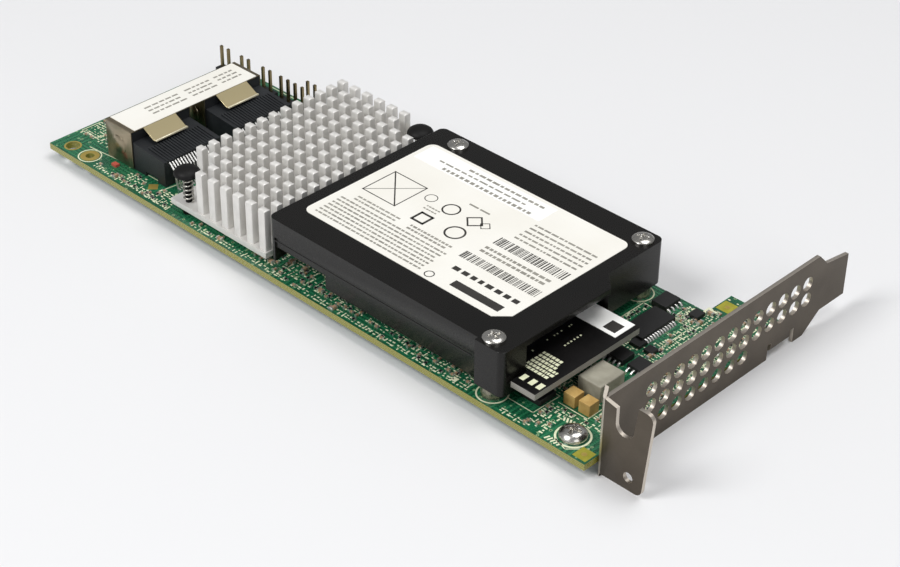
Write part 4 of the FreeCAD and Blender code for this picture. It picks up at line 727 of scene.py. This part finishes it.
class CARD_OT_push_pins(bpy.types.Operator):
    """Makes the two push pins and their coil springs."""

    bl_idname = "card.push_pins"
    bl_label = "Push Pins"

    def execute(self, context):
        s = user_sizes()
        for tag in "ab":
            low, high = span("push_pin_" + tag)
            coil_low, coil_high = span("push_pin_spring_" + tag)
            sink_low = span("heat_sink")[0][2]
            x, y = (low + high)[:2] / 2
            # from the tip up: a barb that ends just under the board, a neck up to the heat sink, a thin
            # shaft inside the spring and a domed head
            shaft, neck, barb, play, head_tall = 0.75, 1.4, 2.0, 0.2, 1.9
            dome = [(2.9, 0.0), (3.1, 0.15), (3.08, 0.5), (2.8, 1.0), (2.2, 1.45), (1.3, 1.75)]
            top, under = high[2], high[2] - head_tall
            step = sink_low - play / 2
            profile = [(shaft, low[2]), (barb, -play), (neck, -play), (neck, step), (shaft, step),
                       (shaft, under)]
            profile += [(radius, under + level) for radius, level in dome]
            rings = lathe(profile, 36)
            pin = skin(rings, (0, 0, profile[0][1] * MM), (0, 0, top * MM), [card(x, y)])
            made = piece("push_pin_%s_dressed" % tag, *pin, "pin", "pin_plastic")
            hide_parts("push_pin_" + tag)
            # the wire's middle climbs evenly as it turns, and rings of the wire's section stand across it
            steps, around = int(s.turns * 24), 8
            mean = (coil_high[0] - coil_low[0] - s.wire) / 2
            turn = np.linspace(0, s.turns * 2 * math.pi, steps + 1)
            rise = np.linspace(coil_low[2] + s.wire / 2, coil_high[2] - s.wire / 2, steps + 1)
            out = np.stack([np.cos(turn), np.sin(turn), np.zeros_like(turn)], -1)
            up = np.array([0.0, 0.0, 1.0])
            section = -np.arange(around) * 2 * math.pi / around
            ring = (out[:, None] * np.cos(section)[:, None] + up * np.sin(section)[:, None]) * s.wire / 2
            middle = out * mean + np.stack([np.zeros_like(turn), np.zeros_like(turn), rise], -1)
            rings = (middle[:, None] + ring) * MM
            coil = skin(rings, middle[0] * MM, middle[-1] * MM, [card(x, y)])
            made = piece("push_pin_spring_%s_dressed" % tag, *coil, "spring", "spring_steel", angle=60)
            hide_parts("push_pin_spring_" + tag)
        return {"FINISHED"}


def cross_screw(x, y, seat, radius, tall, shank, end, turn):
    """A pan-head screw with a cross recess, mm on the card.

    The crown's height falls with the fourth power of the radius; the recess is cut where a point lies
    within the arm's half width of either arm and inside its length, with smooth flanks.
    """
    around = 64
    # the head's rings as shares of its radius, with the rim twice for its upright side
    share = np.array([1.0, 1.0, 0.985, 0.94, 0.86, 0.76, 0.66, 0.58,
                      0.5, 0.42, 0.35, 0.29, 0.23, 0.17, 0.11, 0.05])
    fall, depth = 0.55, tall * 0.5
    half_arm, arm, flank_wide, end_wide = (radius * part for part in (0.15, 0.6, 0.07, 0.1))
    angle = np.arange(around) * 2 * math.pi / around
    px = share[:, None] * np.cos(angle) * radius
    py = share[:, None] * np.sin(angle) * radius
    level = seat + tall * (1 - fall * share[:, None] ** 4) + 0 * px
    level[0] = seat
    c, s = math.cos(turn), math.sin(turn)
    qx, qy = np.abs(px * c + py * s), np.abs(py * c - px * s)
    near, along = np.minimum(qx, qy), np.maximum(qx, qy)
    flank = np.clip((half_arm - near) / flank_wide, 0, 1) * np.clip((arm - along) / end_wide, 0, 1)
    level[1:] -= (flank * flank * (3 - 2 * flank) * depth)[1:]
    head = np.stack([px, py, level], -1)
    bolt = lathe([(shank, end), (shank, seat)], around) / MM
    rings = np.concatenate([bolt, head]) * MM
    return skin(rings, (0, 0, end * MM), (0, 0, (seat + depth) * MM), [card(x, y)])


def cover_screw_places():
    """The middles of the cover's screws, mm on the card: the left one, the near right and the far right."""
    screws = points_of("battery_cover_screws")
    low, high = span("battery_cover_screws")
    middle = (low + high) / 2
    left = screws[screws[:, 0] < middle[0]]
    right = screws[screws[:, 0] >= middle[0]]
    groups = (left, right[right[:, 1] < middle[1]], right[right[:, 1] > middle[1]])
    return [(group.min(0) + group.max(0))[:2] / 2 for group in groups]


class CARD_OT_screws(bpy.types.Operator):
    """Makes the cover's three screws and the bracket's screw, with cross recesses."""

    bl_idname = "card.screws"
    bl_label = "Screws"

    def execute(self, context):
        cover_shank, bracket_shank = 1.1, 1.45
        # the recesses' turns in radians: the first, what each next one adds, and the bracket screw's
        first_turn, next_turn, bracket_turn = 0.5, 0.7, 0.3
        low, high = span("battery_cover_screws")
        cover_top = span("battery_cover")[1][2]
        reach = user_sizes().screw_radius
        tall = high[2] - cover_top
        heads = [cross_screw(x, y, cover_top, reach, tall, cover_shank, low[2], first_turn + next_turn * n)
                 for n, (x, y) in enumerate(cover_screw_places())]
        made = piece("battery_cover_screws_dressed", *joined(*heads), "screw", "screw_steel", angle=40)
        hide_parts("battery_cover_screws")
        low, high = span("bracket_screw")
        x, y = (low + high)[:2] / 2
        head = cross_screw(x, y, BOARD_TOP, (high[0] - low[0]) / 2, high[2] - BOARD_TOP, bracket_shank,
                           low[2], bracket_turn)
        made = piece("bracket_screw_dressed", *head, "screw", "screw_steel", angle=40)
        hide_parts("bracket_screw")
        return {"FINISHED"}


class CARD_OT_mouldings(bpy.types.Operator):
    """Rounds the edges of the battery cover, the bracket, the shells and the block-like parts."""

    bl_idname = "card.mouldings"
    bl_label = "Mouldings and Sheet"

    def execute(self, context):
        softened("battery_cover", 0.35, "cover")
        low, high = span("battery_cover")
        # the parting line is a low rib on the near wall, which is set back from the cover's nearest edge
        set_back, proud, sunk, level, thick = 1.0, 0.12, 0.05, 9.5, 0.25
        wall = low[1] + set_back
        line = slabs([low[0] + 1.5, wall - proud, level], [high[0] - 9.0, wall + sunk, level + thick])
        piece("cover_parting_line", *line, "cover", "battery_plastic")
        softened("bracket", 0.12, "bracket", 1, vents=True)
        low, high = span("inductor")
        # the core is this much wider than its solid, along the card and across it
        wider = 1.16
        middle, half = (low + high) / 2, (high - low) / 2 * [wider, wider, 1.0]
        made = piece("inductor_dressed", *slabs(middle - half, middle + half), "inductor", "inductor_grey")
        rounded(made, 0.25, 2)
        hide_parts("inductor")
        softened("capacitors", 0.1, "capacitor")
        softened("battery_board", 0.08, "deck", 1)
        softened("monitor_chip", 0.12, "chip", 1)
        softened("soic_chips", 0.05, "chip", 1, leads=True)
        softened("driver_chip", 0.05, "chip", 1, leads=True)
        # a flap's end is rolled up and out: how much of it, and by how much it grows each way
        rolled, outward, down, upward = 0.3, 0.15, 0.02, 0.14
        lips = []
        for tag in "ab":
            softened("sas_shell_" + tag, 0.07, "shell", 1)
            sheet = points_of("sas_shell_" + tag)
            tip = sheet[sheet[:, 0] > sheet[:, 0].max() - rolled]
            low, high = tip.min(0), tip.max(0)
            lips.append(slabs([high[0] - rolled, low[1], low[2] - down],
                              [high[0] + outward, high[1], high[2] + upward]))
        # the lips carry the flaps' painted highlight
        made = piece("flap_lips", *joined(*lips), "lip", "shell_nickel")
        rounded(made, 0.1, 1)
        return {"FINISHED"}

def text_rows(rng, x0, x1, ys, height, gap=0.5, word=(1.2, 4.2)):
    """Rows of short bars with small gaps, as far-off print looks."""
    least_room = 0.6
    rows = []
    for y in ys:
        x = x0
        while x < x1 - least_room:
            long = min(rng.uniform(*word), x1 - x)
            rows.append((x + long / 2, y, long, height, 0))
            x += long + gap
    return rows


def stripes(rng, x0, x1, y0, y1):
    """A block of upright bars of uneven width."""
    rows, x = [], x0
    while x < x1:
        wide = rng.choice([0.14, 0.2, 0.32])
        rows.append((x, (y0 + y1) / 2, wide, y1 - y0, 0))
        x += wide + rng.choice([0.16, 0.24, 0.4])
    return rows


def moved(rows, node, corner):
    """Rows laid out for a node whose nearest corner was at that place, moved along to where it is now."""
    rows = np.array(rows, float)
    rows[:, :2] += span(node)[0][:2] - corner
    return rows


class CARD_OT_labels(bpy.types.Operator):
    """Prints plain bars, fields and rings on the labels and on the small black board."""

    bl_idname = "card.labels"
    bl_label = "Label Marks"

    def execute(self, context):
        rng = np.random.default_rng(user_sizes().seed)
        self.battery_label(rng)
        self.connector_label(rng)
        self.small_board(rng)
        return {"FINISHED"}

    def battery_label(self, rng):
        """Fine print, bars, squares and rings on the label, and a whiter overlay along its far side."""
        # the marks are laid out for a label whose nearest corner is here, mm on the card
        at = "battery_label", (79.4, 8.8)
        top = span("battery_label")[1][2]
        # first and last place along the card, rows across it, a row's height, gap and range of lengths
        fine_print = (
            (81.5, 113.0, np.arange(10.6, 18.6, 1.25), 0.5, 0.26, (0.5, 1.7)),
            (84.0, 97.0, np.arange(19.6, 22.0, 1.2), 0.5, 0.26, (0.5, 1.7)),
            (100.0, 112.0, np.arange(19.6, 21.6, 1.2), 0.6, 0.26, (0.4, 1.2)),
            (118.5, 136.0, np.arange(33.0, 40.0, 1.6), 0.55, 0.3, (0.5, 2.0)),
            (116.8, 135.5, [24.4, 26.0], 0.8, 0.3, (0.5, 1.5)),
            (103.0, 109.5, [35.6], 0.5),
            (97.0, 101.0, [27.6, 28.7], 0.4, 0.2, (0.4, 0.9)),
        )
        thin = [mark for row in fine_print for mark in text_rows(rng, *row)]
        piece("label_fine_print", *flat_marks(moved(thin, *at), top), "grey_ink", "label_paper")
        bars = stripes(rng, 117.0, 136.2, 28.0, 31.0) + stripes(rng, 115.2, 136.4, 19.6, 22.2)
        bars += text_rows(rng, 117.3, 136.4, [15.9], 1.3, 0.8, (1.0, 1.9))
        bars += [(127.8, 11.8, 13.4, 2.2, 0)]
        # plain framed squares, crossed lines and rings
        bars += strokes(outline(82.4, 23.6, 92.2, 33.6), 0.26)
        bars += strokes([(82.4, 33.6), (92.2, 23.6)], 0.3) + strokes([(82.4, 23.6), (92.2, 33.6)], 0.16)
        bars += strokes(outline(98.2, 22.8, 101.4, 26.0), 0.6)
        rings = [(101.8, 31.2, 1.75, 2.15), (108.6, 25.3, 2.0, 2.45), (95.6, 31.4, 1.3, 1.5),
                 (115.6, 10.6, 0.9, 1.15)]
        diamonds = [(108.6, 31.3, 1.9, 2.45), (111.4, 31.6, 1.2, 1.5)]
        marks = joined(flat_marks(moved(bars, *at), top), hoops(moved(rings, *at), top),
                       hoops(moved(diamonds, *at), top, around=4))
        piece("label_marks", *marks, "ink", "label_paper")
        thick = 0.03
        (x0, y0), (x1, y1) = moved([(80.6, 41.0), (118.0, 47.2)], *at)
        piece("label_overlay", *slabs([x0, y0, top], [x1, y1, top + thick]), "strip", "label_paper")
        over = text_rows(rng, 88.8, 115.0, [41.9], 0.9, 0.5, (0.5, 1.2))
        over += text_rows(rng, 93.4, 115.7, [45.6], 0.7, 0.4, (0.6, 2.0))
        over += text_rows(rng, 86.0, 112.0, [43.8], 0.5, 0.5, (0.8, 2.4))
        over = flat_marks(moved(over, *at), top + thick)
        piece("label_overlay_marks", *over, "grey_ink", "label_paper")

    def connector_label(self, rng):
        """Three lines of short bars that run across the card, each in three blocks."""
        low, high = span("connector_label")
        wide, gap = 0.55, 0.4
        rows = []
        for first, last in ((8.0, 17.0), (20.0, 27.0), (29.0, 35.0)):
            for across in (2.6, 4.2, 5.8):
                y = low[1] + first
                while y < low[1] + last:
                    long = rng.uniform(0.7, 2.0)
                    rows.append((low[0] + across, y + long / 2, wide, long, 0))
                    y += long + gap
        piece("connector_label_marks", *flat_marks(rows, high[2]), "grey_ink", "label_paper")

    def small_board(self, rng):
        """White pads and bars on the battery's own board, and one plain square on its sticker."""
        # the marks are laid out for boards whose nearest corners are here, mm on the card
        at = "battery_board", (99.0, 2.9)
        white = [(145.35, y, 0.42, 0.42, 0) for y in np.linspace(19.1, 23.9, 6)]
        white += [(141.6, y, 0.36, 0.36, 0) for y in (18.0, 20.1, 21.0, 22.3, 24.6, 25.3)]
        white += [(142.0, 13.2, 0.5, 0.4, 0), (142.1, 8.9, 0.6, 0.4, 0)]
        white += [(x, 5.6, 1.2, 1.9, 0) for x in (144.4, 146.7, 149.0, 151.0)]
        for y in np.arange(8.6, 15.2, 1.15):
            white += text_rows(rng, 143.8, 150.9 if y < 12 else 149.4, [y], 0.78, 0.2, (0.3, 0.9))
        deck = span("battery_board")[1][2]
        piece("deck_marks", *flat_marks(moved(white, *at), deck), "silk", "label_paper")
        field = moved([(148.15, 30.75, 3.2, 3.2, 0)], "board_sticker", (140.2, 28.15))
        piece("sticker_field", *flat_marks(field, span("board_sticker")[1][2]), "ink", "label_paper")


class CARD_OT_board_print(bpy.types.Operator):
    """Prints the board's cream marks and lays its rings, lands and small chip parts."""

    bl_idname = "card.board_print"
    bl_label = "Board Marks and Small Parts"

    def execute(self, context):
        rng = np.random.default_rng(user_sizes().seed + 1)
        z = BOARD_TOP
        # places on the board, mm from its corner
        corner_hole, test_hole, gold_diamond = (4.9, 3.1), (11.4, 3.1), (32.5, 4.9)
        edge_land, far_land = (165.6, 2.3), (154.8, 60.4)
        lamp_x, lamp_y = 19.1, 4.6
        cover_left, cover_near, cover_far = cover_screw_places()
        low, high = span("bracket_screw")
        bracket_screw = (low + high)[:2] / 2
        marks = []
        for path in (
            [(0.7, 14.4), (0.6, 9.0), (6.0, 9.0), (6.2, 11.2)],
            [(8.2, 5.6), (22.9, 7.3), (31.9, 7.4)],
            [(35.0, 4.2), (35.8, 11.0)],
            [(143.2, 4.9), (150.0, 4.9), (150.2, 12.6), (143.6, 12.6)],
            outline(150.9, 16.0, 158.0, 23.8),
            [(151.4, 10.9), (158.9, 10.9), (158.9, 15.2)],
            outline(141.2, 37.0, 154.0, 49.2),
            [(158.6, 2.0), (161.9, 0.9), (165.2, 4.2)],
            [(1.2, 47.4), (14.0, 47.4)], [(16.0, 55.2), (38.0, 55.2)],
        ):
            marks += strokes(path, 0.22)
        # boxes that the small parts and marks stay out of
        blocks = [(low[:2] - 0.35, high[:2] + 0.35) for low, high in map(span, (
            "sas_housing_a", "sas_housing_b", "sas_shell_a", "sas_shell_b", "sas_contacts_a",
            "sas_contacts_b", "controller_chip", "inductor", "capacitors", "driver_chip", "monitor_chip",
            "header_bases", "board_receptacle"))]
        chips = points_of("soic_chips")[:, :2]
        for first, last in (((146.5, 27.5), (153.3, 33.9)), ((153.2, 27.5), (159.6, 33.9)),
                            ((141.5, 48.3), (148.3, 55.0))):
            group = chips[((chips > first) & (chips < last)).all(1)]
            if len(group):
                blocks.append((group.min(0) - 0.3, group.max(0) + 0.3))
        blocks += [(low[:2] - 0.3, high[:2] + 0.3)
                   for low, high in map(span, ("push_pin_a", "push_pin_b", "bracket_screw"))]
        for place, reach in ((corner_hole, 2.4), (test_hole, 3.4), (cover_near, 3.6), (cover_far, 3.6),
                             (cover_left, 3.6), (edge_land, 1.7), (far_land, 2.2), (gold_diamond, 1.7),
                             (bracket_screw, 3.9), ((lamp_x, lamp_y), 1.0)):
            blocks.append((np.array(place) - reach, np.array(place) + reach))
        blocks = np.array(blocks)


        def free(x0, x1, y0, y1, step_x, step_y, long, wide, share):
            """Places on a jittered grid whose parts stay clear of every larger part."""
            gx, gy = np.meshgrid(np.arange(x0, x1, step_x), np.arange(y0, y1, step_y))
            spots = np.column_stack([gx.ravel(), gy.ravel()])
            jitter = 0.18
            spots += rng.uniform(-jitter, jitter, spots.shape)
            spots = spots[rng.random(len(spots)) < share]
            half = np.array([long, wide]) / 2
            below, above = spots[:, None] - half, spots[:, None] + half
            hit = ((below < blocks[None, :, 1]) & (above > blocks[None, :, 0])).all(2)
            return spots[~hit.any(1)]

        # first and last place along the card, then across it
        regions = [
            (1.4, 13.6, 8.5, 54.5), (24.5, 41.8, 1.4, 6.0), (14.5, 42.0, 1.2, 2.6), (13.8, 41.6, 46.6, 54.6),
            (38.9, 42.2, 6.5, 46.0), (43.0, 152.0, 0.9, 2.3), (70.0, 76.0, 3.0, 55.0),
            (77.5, 139.5, 3.0, 10.5),
            (142.0, 151.5, 13.5, 27.0), (141.6, 166.5, 34.5, 54.6), (158.8, 166.6, 9.0, 55.0),
            (151.0, 157.6, 1.6, 10.4), (144.0, 152.6, 49.0, 55.2), (153.5, 166.6, 55.4, 63.4),
            (160.2, 166.6, 15.0, 34.0), (133.0, 143.0, 5.5, 9.0),
        ]
        # lengths and widths of the chip parts
        small_size, large_size = (1.0, 0.5), (1.6, 0.8)
        small, large, dark = [], [], []
        for x0, x1, y0, y1 in regions:
            # the near edge and the left end hold fewer parts, and they and the right end more marks
            bare = y1 < 7 or x1 < 14
            few = 0.5 if bare else 1.0
            small.append(free(x0, x1, y0, y1, 1.9, 1.35, *small_size, 0.26 * few))
            dark.append(free(x0 + 0.9, x1, y0 + 0.6, y1, 2.1, 1.5, *small_size, 0.34 * few))
            large.append(free(x0 + 0.5, x1, y0 + 0.4, y1, 4.1, 3.3, *large_size, 0.2 * few))
            spots = free(x0, x1, y0, y1, 1.05, 0.74, 0.7, 0.35, 0.84 if x0 > 140 or bare else 0.66)
            count = len(spots)
            upright = rng.random(count) < 0.3
            marks += np.column_stack([spots, rng.uniform(0.35, 0.95, count), rng.uniform(0.16, 0.42, count),
                                      np.where(upright, 90.0, 0.0)]).tolist()
        marks += [(153.3, 56.6, 2.6, 2.2, 0), (131.7, 1.75, 1.3, 1.3, 0)]
        marks += [(164.9, y, 0.9, 0.5, 0) for y in np.arange(9.6, 14.0, 0.9)]
        marks += [(x, 7.9, 0.4, 1.4, 30) for x in np.arange(155.6, 159.0, 0.8)]
        marks += [(x, 1.2, 0.4, 1.3, -20) for x in np.arange(157.0, 160.4, 0.8)]
        rings = hoops([(*test_hole, 2.55, 2.85), (*bracket_screw, 3.3, 3.75), (*cover_near, 3.1, 3.45),
                       (*cover_far, 3.1, 3.4), (*cover_left, 3.1, 3.4)], z)
        piece("board_print", *joined(flat_marks(marks, z), rings), "silk", "board_laminate")
        thick = 0.03
        lands = hoops([(*test_hole, 1.05, 2.3), (*corner_hole, 1.65, 2.1)], z, thick)
        piece("board_lands", *lands, "land", "contact_gold")
        pads = flat_marks([(*edge_land, 3.3, 3.3, 0), (*far_land, 3.6, 3.6, 0)], z, thick)
        piece("board_bare_lands", *pads, "olive", "contact_gold")
        dots = hoops([(*edge_land, 0.05, 0.6), (*far_land, 0.05, 0.6)], z + thick, around=20)
        diamond = flat_marks([(*gold_diamond, 2.2, 2.2, 45)], z, thick)
        piece("board_gold_dots", *joined(dots, diamond), "land", "contact_gold")

        def parts(spots, long, wide, tall, name, key, slot):
            """Chip parts: a body between two slightly larger metal ends."""
            count = len(spots)
            upright = rng.random(count) < 0.4
            turn = np.where(upright, math.pi / 2, 0.0)
            # the metal ends stand on the board and hold the body between them, just above it
            lift, off = 0.02, 0.03
            middle = np.column_stack([spots, np.full(count, z + lift)])
            size = np.array([long * 0.62, wide * 0.94, 0])
            body = slabs(middle - size / 2 + [0, 0, off], middle + size / 2 + [0, 0, tall * 0.96], turn)
            shift = np.column_stack([np.cos(turn), np.sin(turn), np.zeros(count)]) * long * 0.4
            cap = np.array([long * 0.2, wide, 0])
            ends = [slabs(at - cap / 2 - [0, 0, lift], at + cap / 2 + [0, 0, tall], turn)
                    for at in (middle - shift, middle + shift)]
            piece(name, *body, key, slot)
            return joined(*ends)

        ends = [parts(np.concatenate(small), *small_size, 0.45, "chip_capacitors", "ceramic",
                      "capacitor_tan"),
                parts(np.concatenate(large), *large_size, 0.7, "large_chip_capacitors", "ceramic",
                      "capacitor_tan"),
                parts(np.concatenate(dark), *small_size, 0.3, "chip_resistors", "resistor", "chip_epoxy")]
        piece("chip_part_ends", *joined(*ends), "tin", "contact_tin")
        lamp = slabs([lamp_x - 0.8, lamp_y - 0.6, z], [lamp_x + 0.8, lamp_y + 0.6, z + 0.6])
        piece("board_lamp", *lamp, "red", "capacitor_tan")
        extra = slabs([[151.0, 51.9, z], [148.6, 35.6, z], [152.4, 35.6, z]],
                      [[153.4, 54.6, z + 0.9], [151.4, 38.2, z + 0.8], [154.6, 37.8, z + 0.8]])
        piece("board_small_chips", *extra, "chip", "chip_epoxy")
        return {"FINISHED"}


class CARD_OT_stage(bpy.types.Operator):
    """Sets a pale floor, soft studio lamps and the camera."""

    bl_idname = "card.stage"
    bl_label = "Stage"

    def execute(self, context):
        scene = context.scene
        scene.view_settings.view_transform = "Standard"
        # the floor reaches this many metres each way
        size = 3.0
        mesh = bpy.data.meshes.new("floor")
        corners = [(x, y, 0) for x, y in outline(-size, -size, size, size)[:4]]
        mesh.from_pydata(corners, [], [(0, 1, 2, 3)])
        floor = placed("floor", mesh)
        pale = scene.card_colours.floor
        shade = finish("Studio paper", pale, pale, (0.8, 0.9), patch=60.0, grain=2.0, bump=0.0)[0]
        mesh.materials.append(shade)
        middle = (Vector(CAD_BOX[0]) + Vector(CAD_BOX[1])) / 2
        # each lamp's place and width in metres, and its power in watts
        lamps = (("key lamp", (-0.2, -0.8, 0.85), 0.5, 7.6), ("top lamp", (0.2, 0.2, 1.0), 0.7, 5.2),
                 ("side lamp", (0.8, -0.3, 0.45), 0.6, 1.6))
        for name, place, wide, power in lamps:
            light = bpy.data.lights.new(name, "AREA")
            light.shape = "DISK"
            light.size = wide
            light.energy = power
            lamp = placed(name, light)
            lamp.location = place
            lamp.rotation_euler = (middle - Vector(place)).to_track_quat("-Z", "Y").to_euler()
        world = bpy.data.worlds.new("Soft room")
        world.use_nodes = True
        tree = world.node_tree
        tree.nodes.clear()
        path = add(tree, "LightPath")
        # the room lights the card softly, and looks brighter where the camera sees it
        power = add(tree, "MapRange", {"Value": path.outputs["Is Camera Ray"],
                                       "To Min": 0.32, "To Max": 0.85})
        sky = add(tree, "Background", {"Color": colour("f2f3f5"), "Strength": power.outputs[0]})
        add(tree, "OutputWorld", {"Surface": sky.outputs[0]})
        scene.world = world
        # the camera's heading from across the card, its tilt and its roll in degrees, and its place in mm
        yaw, pitch, roll = (math.radians(a) for a in (-43.827, -34.581, 0.817))
        stand = (357.60, -235.39, 250.62)
        ahead = Vector((math.sin(yaw) * math.cos(pitch), math.cos(yaw) * math.cos(pitch), math.sin(pitch)))
        right = ahead.cross(Vector((0, 0, 1))).normalized()
        above = right.cross(ahead)
        side = right * math.cos(roll) + above * math.sin(roll)
        top = above * math.cos(roll) - right * math.sin(roll)
        lens = bpy.data.cameras.new("camera")
        lens.sensor_width = 36.0
        lens.lens = 82.1588
        lens.clip_start, lens.clip_end = 0.02, 20.0
        camera = placed("camera", lens)
        turn = Matrix((side, top, -ahead)).transposed()
        camera.matrix_world = Matrix.Translation(Vector(card(*stand))) @ turn.to_4x4()
        scene.camera = camera
        return {"FINISHED"}


class CARD_PT_panel(bpy.types.Panel):
    """Lists the card's sizes, colours and pieces in the sidebar."""

    bl_idname = "CARD_PT_panel"
    bl_label = "Storage Controller Card"
    bl_space_type = "VIEW_3D"
    bl_region_type = "UI"
    bl_category = "Card"

    def draw(self, context):
        for group in (context.scene.card_sizes, context.scene.card_colours):
            box = self.layout.box()
            for name in group.__annotations__:
                box.prop(group, name)
        for kind in OPERATORS:
            self.layout.operator(kind.bl_idname)


OPERATORS = (CARD_OT_finishes, CARD_OT_heat_sink, CARD_OT_push_pins, CARD_OT_screws, CARD_OT_mouldings,
             CARD_OT_labels, CARD_OT_board_print, CARD_OT_stage)
CLASSES = (CardSizes, CardColours, *OPERATORS, CARD_PT_panel)


def register():
    """Adds the properties, operators and panel."""
    for kind in CLASSES:
        bpy.utils.register_class(kind)
    bpy.types.Scene.card_sizes = PointerProperty(type=CardSizes)
    bpy.types.Scene.card_colours = PointerProperty(type=CardColours)


def unregister():
    """Takes them away again."""
    del bpy.types.Scene.card_colours
    del bpy.types.Scene.card_sizes
    for kind in reversed(CLASSES):
        bpy.utils.unregister_class(kind)


def main():
    """Makes every piece in order."""
    register()
    bpy.ops.card.finishes()
    bpy.ops.card.heat_sink()
    bpy.ops.card.push_pins()
    bpy.ops.card.screws()
    bpy.ops.card.mouldings()
    bpy.ops.card.labels()
    bpy.ops.card.board_print()
    bpy.ops.card.stage()
    bpy.context.view_layer.update()


if __name__ == "__main__":
    main()
